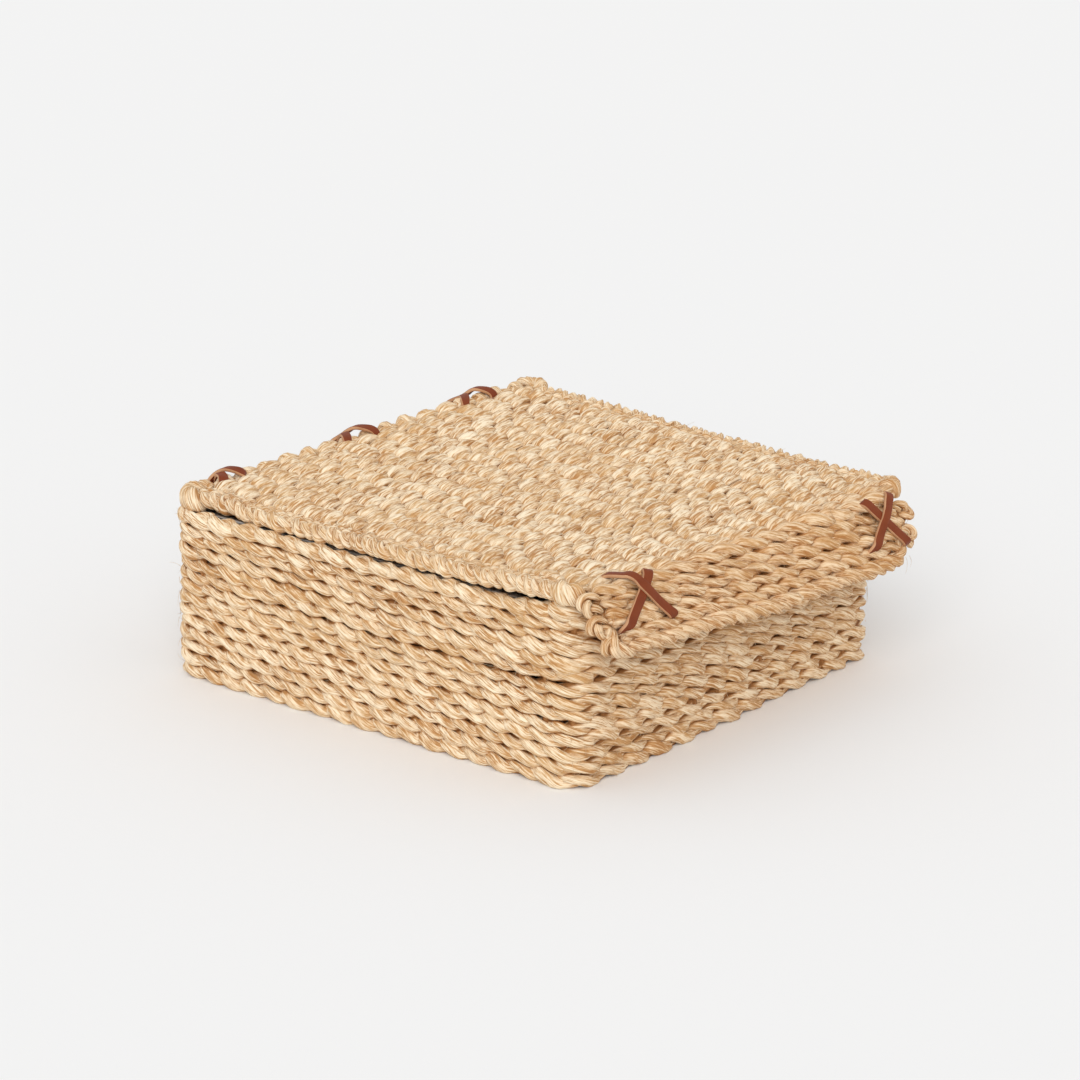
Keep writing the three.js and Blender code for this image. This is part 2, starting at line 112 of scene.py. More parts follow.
class NapkinBoxLaces(bpy.types.PropertyGroup):
    width: length("Width", "Width of a lace", 0.0039)
    thickness: length("Thickness", "Thickness of a lace", 0.0016)
    face: colour("Face", "Colour of the dyed face", (0.19, 0.04, 0.013))
    edge: colour("Edge", "Colour of the raw edge", (0.62, 0.36, 0.20))


class NapkinBoxStage(bpy.types.PropertyGroup):
    floor: colour("Floor", "Colour of the floor", (0.878, 0.878, 0.878))
    backdrop: colour("Backdrop", "Colour that the camera sees beyond the floor", (0.888, 0.888, 0.888))
    sky: FloatProperty(name="Sky", description="Strength of the light from all round", default=0.8)
    sun: FloatProperty(name="Sun", description="Strength of the main lamp", default=1.28)
    softness: FloatProperty(
        name="Softness", description="Angle that the main lamp spans",
        default=math.radians(40), subtype="ANGLE",
    )
    lens: FloatProperty(name="Lens", description="Focal length in millimetres", default=125.42)


# Arrays

SKYWARD, REARWARD = np.array([0.0, 0.0, 1.0]), np.array([0.0, 1.0, 0.0])


def unit(vectors):
    return vectors / np.linalg.norm(vectors, axis=-1, keepdims=True)


def square_to(vectors, way):
    """Unit vectors that keep nothing of their share along the way."""
    return unit(vectors - way * np.sum(vectors * way, -1, keepdims=True))


def at_height(plan, z):
    """Points or directions in plan, given a third coordinate."""
    return np.concatenate([plan, np.broadcast_to(z, (len(plan),))[:, None]], 1)


def ease(low, high, value):
    """Smooth step from 0 at low to 1 at high."""
    t = np.clip((value - low) / (high - low), 0, 1)
    return t * t * (3 - 2 * t)


def seeded(number):
    """Random numbers of a piece's own, so that a change to one leaves the others as they are."""
    return np.random.default_rng(number)


def unevenness(place, span, reach, lot):
    """Slow unevenness of hand work: nine sines that repeat over the span, smaller as they shorten."""
    order = np.arange(1, 10)
    size = lot.normal(0, 1, 9) / order**0.8
    turns = 2 * np.pi * np.multiply.outer(np.asarray(place, float) / span, order)
    return reach * np.cos(turns + lot.uniform(0, 2 * np.pi, 9)) @ size / 1.6


def each_stitch(stitch, strand, spread, around, lot, hold=0.62):
    """A random value held over each visible stitch of a strand, and passed on where it is hidden."""
    first = 0 if around else int(np.floor(stitch.min())) - 2
    last = around if around else int(np.ceil(stitch.max())) + 3
    middles = np.arange(first + (strand - first) % 2, last, 2)
    values = np.repeat(lot.normal(0, spread, len(middles)), 2)
    knots = np.stack([middles - hold, middles + hold], 1).ravel()
    return np.interp(stitch, knots, values, period=around or None)


def run_along(line):
    """Distance travelled at each point of a line of points."""
    return np.concatenate([[0], np.cumsum(np.linalg.norm(np.diff(line, axis=0), axis=1))])


def at_runs(place, run, table):
    """The rows of a line's table at given distances along it."""
    return np.stack([np.interp(place, run, table[:, k]) for k in range(table.shape[1])], 1)


def through(points, count):
    """Evenly spread points on the smooth curve that passes through the given points."""
    points = np.asarray(points, float)
    ends = np.concatenate([[2 * points[0] - points[1]], points, [2 * points[-1] - points[-2]]])
    place = np.linspace(0, len(points) - 1, 40 * len(points))
    i = np.minimum(place.astype(int), len(points) - 2)
    t = (place - i)[:, None]
    a, b, c, d = ends[i], ends[i + 1], ends[i + 2], ends[i + 3]
    square, cube = (2 * a - 5 * b + 4 * c - d) * t**2, (3 * b - a - 3 * c + d) * t**3
    curve = 0.5 * (2 * b + (c - a) * t + square + cube)
    run = run_along(curve)
    return at_runs(np.linspace(0, run[-1], count), run, curve)


def way_along(line, closed=False):
    """Unit direction of travel at each point of a line of points."""
    if closed:
        return unit(np.roll(line, -1, -2) - np.roll(line, 1, -2))
    return unit(np.gradient(line, axis=-2))


# Skins

FIBRE_RADIUS, FIBRE_DRAW = 2.2, 0.11  # the cylinder that the fibre's pattern is laid on
TWINE_TWIST = 0.11  # turn of the fibre in a twined bundle, a millimetre
FULL_HALF = 2.35  # half height of a row that has the whole swing
OPEN_SPAN = 40  # stitches over which an open row's unevenness repeats
# Spread from stitch to stitch of plumpness, of place in the row, of place before it, and of tone
STITCH_SPREADS = (0.11, 0.28, 0.26, 0.13)
# Stakes and warps: a darker tone, and a rise of only 0.2 mm that puts them in the painted gap shade.
STAKE = {"tone": -0.25, "rise": 0.2, "sides": 8}  # dark, and deep in the weave


def faces(bundles, steps, sides, closed, inside_out):
    """Quads between the rings of points, and the fans that close the ends of open bundles.

    The points in the middle of a bundle's two ends follow the points of all the rings.
    """
    grid = np.arange(bundles * steps * sides).reshape(bundles, steps, sides)
    here = grid if closed else grid[:, :-1]
    ahead = np.roll(grid, -1, 1) if closed else grid[:, 1:]
    quads = np.stack([here, np.roll(here, -1, 2), np.roll(ahead, -1, 2), ahead], -1).reshape(-1, 4)
    fans = np.zeros((0, 3), int)
    if not closed:
        pole = grid.size + 2 * np.arange(bundles)[:, None]
        first, last = grid[:, 0], grid[:, -1]
        near = np.stack([pole + 0 * first, np.roll(first, -1, 1), first], -1)
        far = np.stack([pole + 1 + 0 * last, last, np.roll(last, -1, 1)], -1)
        fans = np.concatenate([near.reshape(-1, 3), far.reshape(-1, 3)])
    if inside_out:
        quads, fans = quads[:, ::-1], fans[:, ::-1]
    return quads, fans


def skin(
    centre, side, lift, wide, high, lot, tone=0.0, rise=9.0, sides=12, closed=False, fray=0.055,
    level=None, half=None, twist=0.035,
):
    """Closed skins of soft bundles, as whole arrays.

    A section is an ellipse: centre + side * wide * cos(turn) + lift * high * sin(turn), times
    1 + fray * three cosines of the turn that drift along the bundle, which gives it ridges.
    The fibre coordinate is the point on a 2.2 mm cylinder with its length drawn in, so a
    pattern on it runs along the bundle, turned by twist a millimetre. Where a bundle closes on
    itself, the length is counted both ways from its middle, so that the pattern meets.
    The painted shade and raw edge attribute holds a bundle's painted shade: 1, no painted shade, where
    the point stands over 2.2 mm from the middle of the weave, and 0, full painted gap shade, under 0.7
    mm.
    With half, a row's half height, a point counts up to 1.6 mm more the nearer it is to the middle of
    the row; with level alone, the distance is taken from the axis of a rope.
    """
    bundles, steps = centre.shape[:2]
    side, lift = np.broadcast_to(side, centre.shape), np.broadcast_to(lift, centre.shape)
    nothing = np.zeros((bundles, steps))
    wide, high, tone, rise = (value + nothing for value in (wide, high, tone, rise))
    turn = np.linspace(0, 2 * np.pi, sides, endpoint=False)[None, None]
    step = np.linalg.norm(np.diff(centre, axis=1), axis=2)
    run = np.concatenate([np.zeros((bundles, 1)), np.cumsum(step, 1)], 1)[..., None]
    whole = run[:, -1:] + 1e-6
    lay = run * twist
    if closed:
        laps = np.maximum(np.round(whole * abs(twist) / (2 * np.pi)), 1)
        lay = run * (np.sign(twist) * 2 * np.pi * laps / whole)
    phase = lot.uniform(0, 2 * np.pi, (3, bundles, 1, 1))
    wound = turn + lay
    ridge = 1 + fray * (
        np.cos(3 * wound + phase[0])
        + 0.7 * np.cos(5 * wound + phase[1])
        + 0.5 * np.cos(2 * (turn - lay) + phase[2])
    )
    across = np.cos(turn) * wide[..., None] * ridge
    over = np.sin(turn) * high[..., None] * ridge
    points = centre[:, :, None] + side[:, :, None] * across[..., None]
    points = points + lift[:, :, None] * over[..., None]
    along = FIBRE_DRAW * (np.abs(run - whole / 2) if closed else run)
    along = along + lot.uniform(0, 900, (bundles, 1, 1)) + 0 * turn
    fibre = np.stack([FIBRE_RADIUS * np.cos(wound), FIBRE_RADIUS * np.sin(wound), along], -1)
    stand = np.abs(rise[..., None] + over)
    if half:
        stand = stand + 1.6 * (1 - np.clip(np.abs(level[..., None] + across) / half, 0, 1))
    elif level is not None:
        stand = np.hypot(stand, level[..., None] + across)
    painted_shade_and_raw_edge = ease(0.7, 2.2, stand)
    parts = {
        "co": points.reshape(-1, 3),
        "fibre": fibre.reshape(-1, 3),
        "tone": np.broadcast_to(tone[..., None], painted_shade_and_raw_edge.shape).reshape(-1, 1),
        "painted_shade_and_raw_edge": painted_shade_and_raw_edge.reshape(-1, 1),
    }
    if not closed:
        for key, table in parts.items():
            rings = table.reshape(bundles, steps, sides, -1)
            poles = np.stack([rings[:, 0].mean(1), rings[:, -1].mean(1)], 1)
            parts[key] = np.concatenate([table, poles.reshape(-1, table.shape[-1])])
    inside_out = np.sum(np.cross(side, lift) * way_along(centre, closed)) < 0
    quads, fans = faces(bundles, steps, sides, closed, inside_out)
    return {**parts, "quads": quads, "fans": fans}


def rounded(count, reach):
    """Factor that rounds off both ends of an open bundle over a share of its length."""
    t = np.linspace(0, 1, count)
    end = np.minimum(t, 1 - t) / reach
    return np.sqrt(np.clip(1 - (1 - np.clip(end, 0, 1)) ** 2, 0.02, 1))


def taper(middle, end):
    """Factor that rounds off a row's ends over so many millimetres of it."""
    return rounded(len(middle), end / np.linalg.norm(middle[-1] - middle[0]))


def twined_row(
    middle, outward, upward, stitch, half, lot, around=0, hand=-1.0, drift=0.12, slant=1.0, swell=1.0,
    bare=False, end=3.0, pinch=0.22, twist=TWINE_TWIST,
):
    """One row of twining, as the skins of its two bundles.

    A bundle's centre is the row's middle line + swing_out * cos(turn) outwards + hand *
    slant * swing_up * sin(turn) upwards. The turn is pi for each stitch, and the second bundle is
    half a turn on. With f = |cos(turn)| ** 0.55, a bundle's half height is half * swell * (0.64 +
    0.29 f) and its half depth is depth * (1 + pinch * (1 - f)): tall and thin where two cross, or
    drawn in where the pinch is below zero. Its fibres wind by the twist. A bare
    row has no row beside it, so its flank is as light as its face.
    """
    w = bpy.context.scene.napkin_weave
    out_reach, up_reach, deep = 1000 * w.swing_out, 1000 * w.swing_up * slant, 1000 * w.depth
    slack = half / FULL_HALF
    strands = []
    shift = unevenness(stitch, around or OPEN_SPAN, drift, lot)
    for strand in (0, 1):
        turn = np.pi * (stitch + shift - strand)
        front = np.abs(np.cos(turn)) ** 0.55
        more, settle, proud, tone = (
            each_stitch(stitch, strand, spread, around, lot) for spread in STITCH_SPREADS
        )
        plump = 1 + more
        rise = out_reach * np.sign(np.cos(turn)) * front * plump + proud
        up = hand * up_reach * slack * np.sin(turn) + settle * np.cos(turn) ** 2
        strands.append(
            (
                middle + outward * rise[:, None] + upward * up[:, None],
                half * swell * plump * (0.64 + 0.29 * front),
                deep * (1 + pinch * (1 - front)) * (0.6 + 0.4 * plump),
                tone + unevenness(stitch, around or 30, 0.10, lot),
                rise,
                up,
            )
        )
    centre, wide, high, tone, rise, level = (np.stack(column) for column in zip(*strands))
    if not around:
        wide, high = wide * taper(middle, end), high * taper(middle, end)
    return skin(
        centre, upward, outward, wide, high, lot, tone=tone, rise=rise, sides=w.sides,
        closed=bool(around), fray=0.09, level=level, half=None if bare else half, twist=twist * hand,
    )


def wraps(place, inward, along, lot, into, top, bottom, lean, wide, thick):
    """Bundles that turn round an edge, one at each place, from above to below.

    With t from -1 below to 1 above, a bundle's centre is place + into * |t| ** 2.4 inwards,
    top or bottom * sin(90 degrees * 1.7 t), cut off at its crest and let down at the ends,
    and lean * t along the edge.
    """
    count = len(place)
    t = np.linspace(-1, 1, 16)[None]
    inward, along = (np.broadcast_to(v, place.shape)[:, None] for v in (inward, along))
    top, bottom, lean = (np.broadcast_to(v, (count,))[:, None] for v in (top, bottom, lean))
    crest = np.sin(np.pi / 2 * np.clip(1.7 * t, -1, 1)) * (1 - 0.5 * ease(0.6, 1, np.abs(t)))
    height = np.where(t > 0, top, bottom) * crest
    centre = (
        place[:, None]
        + inward * (into * np.abs(t) ** 2.4)[..., None]
        + SKYWARD * height[..., None]
        + along * (lean * t)[..., None]
    )
    way = way_along(centre)
    side = square_to(along, way)
    body = 1 - 0.5 * t**4
    tone = lot.normal(0, 0.2, (count, 1)) + 0 * t
    lift = unit(np.cross(way, side))
    return skin(centre, side, lift, wide * body, thick * body, lot, tone=tone, sides=10, fray=0.075)


def rope(
    middle, outward, upward, stitch, lot, strands, swing, wide, high, per_turn=2.0, hand=1.0, end=3.0
):
    """A laid rope: each strand's centre is the middle line + swing outwards and upwards by the
    cosine and sine of a turn that goes round once in per_turn stitches."""
    laid = []
    for strand in range(strands):
        turn = 2 * np.pi * (stitch / per_turn + strand / strands)
        rise, up = swing[0] * np.cos(turn), hand * swing[1] * np.sin(turn)
        centre = middle + outward * rise[:, None] + upward * up[:, None]
        laid.append((centre, unevenness(stitch, OPEN_SPAN, 0.22, lot), rise, up))
    centre, tone, rise, level = (np.stack(column) for column in zip(*laid))
    thick = 1 + 0.10 * np.stack([unevenness(stitch, OPEN_SPAN, 1.0, lot) for _ in range(strands)])
    thick = thick * taper(middle, end)
    return skin(
        centre, upward, outward, wide * thick, high * thick, lot, tone=tone, rise=rise, fray=0.07,
        level=level, twist=TWINE_TWIST * hand,
    )


def rods(lines, radius, lot, squash=1.0, normal=SKYWARD, closed=False, **more):
    """Round bundles or wires along lines of points, all with the same number of points."""
    centre = np.asarray(lines, float)
    way = way_along(centre, closed)
    side = unit(np.cross(way, normal))
    lift = unit(np.cross(way, side))
    return skin(centre, side, lift, radius, radius * squash, lot, closed=closed, **more)


def piece(name, skins, material, body, slot, *nodes):
    """Puts skins into one mesh in metres, with their fibre, tone, and painted shade and raw edge
    attributes.
    """
    number = ("FLOAT", "value")
    layers = {"fibre": ("FLOAT_VECTOR", "vector"), "tone": number, "painted_shade_and_raw_edge": number}
    joined = {key: np.concatenate([s[key] for s in skins]) for key in ("co", *layers)}
    shifts = np.cumsum([0] + [len(s["co"]) for s in skins[:-1]])
    quads = np.concatenate([s["quads"] + shift for s, shift in zip(skins, shifts)])
    fans = np.concatenate([s["fans"] + shift for s, shift in zip(skins, shifts)])
    mesh = bpy.data.meshes.new(name)
    mesh.vertices.add(len(joined["co"]))
    mesh.vertices.foreach_set("co", (joined["co"] * 0.001).astype(np.float32).ravel())
    corners = np.concatenate([quads.ravel(), fans.ravel()])
    mesh.loops.add(len(corners))
    mesh.loops.foreach_set("vertex_index", corners.astype(np.int32))
    starts = np.concatenate([4 * np.arange(len(quads)), 4 * len(quads) + 3 * np.arange(len(fans))])
    mesh.polygons.add(len(starts))
    mesh.polygons.foreach_set("loop_start", starts.astype(np.int32))
    mesh.polygons.foreach_set("use_smooth", np.ones(len(starts), bool))
    mesh.update(calc_edges=True)
    for key, (kind, field) in layers.items():
        layer = mesh.attributes.new(key, kind, "POINT")
        layer.data.foreach_set(field, joined[key].astype(np.float32).ravel())
    mesh.materials.append(material)
    made = bpy.data.objects.new(name, mesh)
    bpy.context.scene.collection.objects.link(made)
    if nodes:
        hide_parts(*nodes)
    if body:
        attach(made, body)
    return made


def woven(name, skins, body, *nodes):
    """A piece of twined fibre."""
    return piece(name, skins, mixed("dried_fibre", fibre_paint), body, "twined_fibre", *nodes)


def wired(name, rod, node):
    """A piece of the steel wire frame."""
    return piece(name, [rod], mixed("bare_steel", steel_paint), "basket", "steel_wire", node)


# Paint


class Value:
    """A number socket that takes Python arithmetic: each operation adds its Math node."""

    def __init__(self, paint, socket):
        self.paint, self.socket = paint, socket

    def join(self, kind, other):
        node = self.paint.add("ShaderNodeMath", {"operation": kind}, {0: self, 1: other})
        return Value(self.paint, node.outputs[0])

    def __add__(self, other):
        return self.join("ADD", other)

    def __sub__(self, other):
        return self.join("SUBTRACT", other)

    def __mul__(self, other):
        return self.join("MULTIPLY", other)


class Paint:
    """The nodes of a material or a world under construction."""

    def __init__(self, owner):
        self.owner = owner
        owner.use_nodes = True
        self.tree = owner.node_tree
        self.tree.nodes.clear()

    def add(self, kind, settings=None, inputs=None):
        """Adds a node: its settings first, then the values or links of its sockets."""
        node = self.tree.nodes.new(kind)
        for key, value in (settings or {}).items():
            setattr(node, key, value)
        for key, value in (inputs or {}).items():
            if isinstance(value, Value):
                value = value.socket
            if isinstance(value, bpy.types.NodeSocket):
                self.tree.links.new(value, node.inputs[key])
            else:
                node.inputs[key].default_value = value
        return node

    def attribute(self, name, output="Fac"):
        socket = self.add("ShaderNodeAttribute", {"attribute_name": name}).outputs[output]
        return Value(self, socket) if output == "Fac" else socket

    def place(self):
        return self.add("ShaderNodeTexCoord").outputs["Object"]

    def along(self, where, axis):
        """One coordinate of a place."""
        return Value(self, self.add("ShaderNodeSeparateXYZ", None, {"Vector": where}).outputs[axis])

    def noise(self, where, scale, detail=2.0, roughness=0.5):
        inputs = {"Vector": where, "Scale": scale, "Detail": detail, "Roughness": roughness}
        return Value(self, self.add("ShaderNodeTexNoise", None, inputs).outputs["Fac"])

    def span(self, value, low, high, to_low=0.0, to_high=1.0):
        """Carries a value from one range to another and holds it at the ends."""
        inputs = {0: value, 1: low, 2: high, 3: to_low, 4: to_high}
        return Value(self, self.add("ShaderNodeMapRange", {"clamp": True}, inputs).outputs[0])

    def mix(self, share, first, second, blend="MIX"):
        """Colour between two colours."""
        first, second = [c if isinstance(c, bpy.types.NodeSocket) else (*c, 1) for c in (first, second)]
        settings = {"data_type": "RGBA", "blend_type": blend}
        return self.add("ShaderNodeMix", settings, {0: share, 6: first, 7: second}).outputs[2]

    def bump(self, height, strength, distance):
        inputs = {"Height": height, "Strength": strength, "Distance": distance}
        return self.add("ShaderNodeBump", None, inputs).outputs["Normal"]

    def finish(self, inputs):
        shader = self.add("ShaderNodeBsdfPrincipled", None, inputs)
        self.add("ShaderNodeOutputMaterial", None, {"Surface": shader.outputs["BSDF"]})
        return self.owner


def mixed(name, mix):
    """The material of that name, which is mixed the first time that it is asked for."""
    return bpy.data.materials.get(name) or mix(Paint(bpy.data.materials.new(name)))


def fibre_paint(p):
    """Dried plant fibre: streaks that run along each bundle, a tone of its own for each stitch,
    warm and pale patches, painted brown shade deep between the bundles with a painted warm
    bounce light of tan round it, and a painted warm shade on the front side."""
    w = bpy.context.scene.napkin_weave
    fibre = p.attribute("fibre", "Vector")
    tone, painted_shade_and_raw_edge = p.attribute("tone"), p.attribute("painted_shade_and_raw_edge")
    streak = p.noise(fibre, 0.85, 2.0, 0.6)
    line = p.noise(fibre, 1.7, 3.0, 0.7)
    patch = p.noise(p.place(), 42.0, 2.0, 0.5)
    pale_share = p.span(
        tone + (streak - 0.5) * 2.4 + (line - 0.5) * 4.2 + (patch - 0.5) * 0.6, -0.5, 0.75
    )
    base = p.mix(pale_share, w.straw, w.pale)
    warm = p.span(
        (streak - 0.5) * -2.0 + (patch - 0.5) * 1.2 - tone * 0.6 + (line - 0.5) * -3.2, 0.08, 0.8
    )
    base = p.mix(warm * 0.85, base, w.tan)
    # Painted warm shade on the front side: fibre from y = -0.096 m forward is multiplied by the front
    # warm shade colour.
    front = p.span(p.along(p.place(), "Y"), -0.106, -0.096, 1.0, 0.0)
    base = p.mix(front, base, w.front_warm_shade, "MULTIPLY")
    # Painted warm bounce light: tan where the painted shade share is low to middling, round the painted
    # gap shade.
    painted_warm_bounce = p.span(painted_shade_and_raw_edge + (line - 0.5) * 0.7, 0.2, 0.85)
    base = p.mix(painted_warm_bounce, w.tan, base)
    # Painted shade: the gap shade colour deep between the bundles.
    shade = p.span(painted_shade_and_raw_edge + (line - 0.5) * 0.7, -0.1, 0.5)
    base = p.mix(shade, w.gap, base)
    height = line * 0.55 + streak * 0.45
    return p.finish(
        {
            "Base Color": base,
            "Roughness": p.span(line, 0.3, 0.7, 0.46, 0.66),
            "Specular IOR Level": 0.15,
            "Normal": p.bump(height, 1.0, 0.0006),
        }
    )


def lace_paint(p):
    """Dyed leather lace: a red-brown face with fine grain, and a pale raw edge."""
    laces = bpy.context.scene.napkin_laces
    where = p.place()
    grain = p.noise(where, 2600.0, 3.0, 0.6)
    cloud = p.noise(where, 160.0, 2.0, 0.5)
    raw = p.attribute("painted_shade_and_raw_edge")
    face = p.mix(p.span(cloud, 0.35, 0.65, 0.0, 0.45), laces.face, (0.255, 0.064, 0.022))
    face = p.mix(p.span(grain, 0.55, 0.75, 0.0, 0.35), face, (0.12, 0.03, 0.018))
    edge = p.mix(p.span(cloud, 0.3, 0.7), laces.edge, (0.42, 0.21, 0.11))
    share = p.span(raw + (grain - 0.5) * 0.25, 0.35, 0.62)
    return p.finish(
        {
            "Base Color": p.mix(share, face, edge),
            "Roughness": p.span(grain, 0.3, 0.7, 0.42, 0.6),
            "Specular IOR Level": 0.12,
            "Normal": p.bump(grain * 0.7 + cloud * 0.3, 0.25, 0.0001),
        }
    )


def steel_paint(p):
    """Bare round wire: drawn lines along it and a little dull oxide."""
    drawn = p.noise(p.attribute("fibre", "Vector"), 3.2, 3.0, 0.6)
    cloud = p.noise(p.place(), 240.0, 3.0, 0.55)
    colour_mix = p.mix(p.span(cloud, 0.4, 0.75, 0.0, 0.6), (0.52, 0.51, 0.50), (0.30, 0.27, 0.25))
    return p.finish(
        {
            "Base Color": colour_mix,
            "Metallic": p.span(cloud, 0.45, 0.8, 1.0, 0.75),
            "Roughness": p.span(drawn * 0.6 + cloud * 0.4, 0.3, 0.7, 0.26, 0.48),
            "Normal": p.bump(drawn, 0.2, 0.0001),
        }
    )


# Basket

BASKET = (190.0, 202.0)
CORNER, CORNER_STEPS = 12.0, 90
WALL = 8.6
RIM_HALF = 2.7
WIRE_RADIUS = 1.6
RIM_BOTTOM, RIM_TOP = 61.1, 66.5
ROW_HEIGHTS = np.array([5.0, 4.9, 5.0, 5.0, 4.9, 4.8, 4.6, 4.3, 4.8, 5.2, 4.7, 4.1, 4.1])
ROW_HEIGHTS = ROW_HEIGHTS * RIM_BOTTOM / ROW_HEIGHTS.sum()


def rounded_plan(half, radius, count):
    """A rounded rectangle in plan, from the back right corner, and its outward directions."""
    angle = np.linspace(0, 2 * np.pi, 4 * count, endpoint=False) + np.pi / 4
    outward = np.stack([np.cos(angle), np.sin(angle)], 1)
    return np.sign(np.round(outward, 9)) * (half - radius) + radius * outward, outward


def wall_line(stitch, inset):
    """The wall's plan line: a rounded rectangle that lies inset inside the outer face.

    It starts at the back right corner and goes by the back, left, front and right. Stitches
    are spread evenly from one corner to the next. Returns points and outward normals for the
    given stitch numbers.
    """
    w = bpy.context.scene.napkin_weave
    points, outward = rounded_plan(np.array(BASKET) / 2 - inset, CORNER - inset, CORNER_STEPS)
    points, outward = np.concatenate([points, points[:1]]), np.concatenate([outward, outward[:1]])
    run = run_along(points)
    corners = [0, w.front_stitches, w.side_stitches, w.front_stitches, w.side_stitches]
    place = np.interp(stitch, np.cumsum(corners), run[::CORNER_STEPS])
    return at_runs(place, run, points), unit(at_runs(place, run, outward))


def corner_lift(line):
    """How far the wall's top is pulled up at the front left corner and pressed down under the
    lid's low corner at the front right, for points in plan."""
    x, y = line[:, 0], line[:, 1] + BASKET[1] / 2
    left = np.exp(-(((x + BASKET[0] / 2) ** 2 + y**2) / 20.0**2))
    right = np.exp(-(((x - BASKET[0] / 2) ** 2 + y**2) / 30.0**2))
    return 4.2 * left - 2.6 * right


def round_the_wall():
    """Stitches once round the wall: their count, their numbers, and the wall's middle line with
    its outward directions in plan."""
    w = bpy.context.scene.napkin_weave
    around = 2 * (w.front_stitches + w.side_stitches)
    stitch = np.linspace(0, around, around * w.steps, endpoint=False)
    return around, stitch, *wall_line(stitch, WALL / 2)


class NAPKINBOX_OT_walls(bpy.types.Operator):
    """Weaves the thirteen courses of the wall and the stakes inside them"""

    bl_idname = "napkinbox.walls"
    bl_label = "Weave the walls"

    def execute(self, context):
        around, stitch, line, normal = round_the_wall()
        shared = seeded(11)
        sway = unevenness(stitch, around, 0.30, shared)
        bow = unevenness(stitch, around, 0.45, shared)
        tops = np.cumsum(ROW_HEIGHTS)
        facing = np.abs(normal[:, 1])
        for i, height in enumerate(ROW_HEIGHTS):
            lot = seeded(100 + i)
            level = tops[i] - height / 2
            wander = (sway + unevenness(stitch, around, 0.24, lot)) * min(1, i / 3)
            z = level + (level / RIM_TOP) ** 2 * corner_lift(line) + wander
            out = bow * np.sin(np.pi * level / RIM_TOP) + lot.normal(0, 0.16)
            row = twined_row(
                at_height(line + normal * out[:, None], z), at_height(normal, 0.0), SKYWARD,
                stitch + (0.045 * i + lot.normal(0, 0.2)), height / 2, lot, around, drift=0.17,
                slant=1 + 0.5 * facing, swell=1 + 2 * level / RIM_TOP**2 * corner_lift(line),
                pinch=0.22 - 0.32 * facing,
            )
            row["co"][:, 2] = np.maximum(row["co"][:, 2], 0.0)
            woven(f"course_{i + 1:02d}_weave", [row], "basket", f"wall_course_{i + 1:02d}")
        foot, foot_out = wall_line(np.arange(around).astype(float), WALL / 2)
        stakes = np.zeros((around, 14, 3))
        stakes[..., :2] = foot[:, None]
        stakes[..., 2] = np.linspace(1.5, RIM_BOTTOM + 2.5, 14)
        outs = at_height(foot_out, 0.0)[:, None]
        side = unit(np.cross(outs, SKYWARD))
        stakes = skin(stakes, side, outs, 1.9, 1.0, seeded(7), **STAKE)
        woven("wall_stakes", [stakes], "basket")
        return {"FINISHED"}


class NAPKINBOX_OT_rim(bpy.types.Operator):
    """Lays the thicker course that closes the rim"""

    bl_idname = "napkinbox.rim"
    bl_label = "Lay the rim border"

    def execute(self, context):
        around, stitch, line, normal = round_the_wall()
        lot = seeded(31)
        z = (RIM_BOTTOM + RIM_TOP) / 2 + corner_lift(line) + unevenness(stitch, around, 0.35, lot)
        middle = at_height(line + normal * unevenness(stitch, around, 0.35, lot)[:, None], z)
        border = twined_row(
            middle, at_height(normal, 0.0), SKYWARD, stitch + lot.normal(0, 0.3), RIM_HALF,
            lot, around, drift=0.5, slant=0.6, swell=1.04, bare=True,
        )
        woven("rim_weave", [border], "basket", "rim_border")
        return {"FINISHED"}


class NAPKINBOX_OT_base(bpy.types.Operator):
    """Weaves the flat base between the walls"""

    bl_idname = "napkinbox.base"
    bl_label = "Weave the base"

    def execute(self, context):
        w = context.scene.napkin_weave
        half_x, half_y = BASKET[0] / 2 - WALL - 0.2, BASKET[1] / 2 - WALL - 0.2
        pitch = 2 * half_y / w.base_rows
        count = w.front_stitches * 8
        x = np.linspace(-half_x, half_x, count)
        stitch = np.linspace(0, w.front_stitches, count)
        rows = []
        for i in range(w.base_rows):
            lot = seeded(400 + i)
            y = -half_y + (i + 0.5) * pitch + unevenness(x, 260, 0.2, lot)
            middle = np.stack([x, y, np.full(count, 3.1)], 1)
            row = twined_row(middle, -SKYWARD, REARWARD, stitch + 0.04 * i, pitch / 2, lot, end=2.0)
            row["co"][:, 2] = np.maximum(row["co"][:, 2] - 0.55, 0.0)
            rows.append(row)
        woven("base_weave", rows, "basket", "base_mat")
        warp_x = np.linspace(-half_x, half_x, w.front_stitches + 1)
        warp = np.zeros((len(warp_x), 12, 3))
        warp[..., 0] = warp_x[:, None]
        warp[..., 1] = np.linspace(-half_y, half_y, 12)
        warp[..., 2] = 2.8
        warps = rods(warp, 1.5, seeded(9), squash=0.55, fray=0.04, **STAKE)
        woven("base_warps", [warps], "basket")
        return {"FINISHED"}


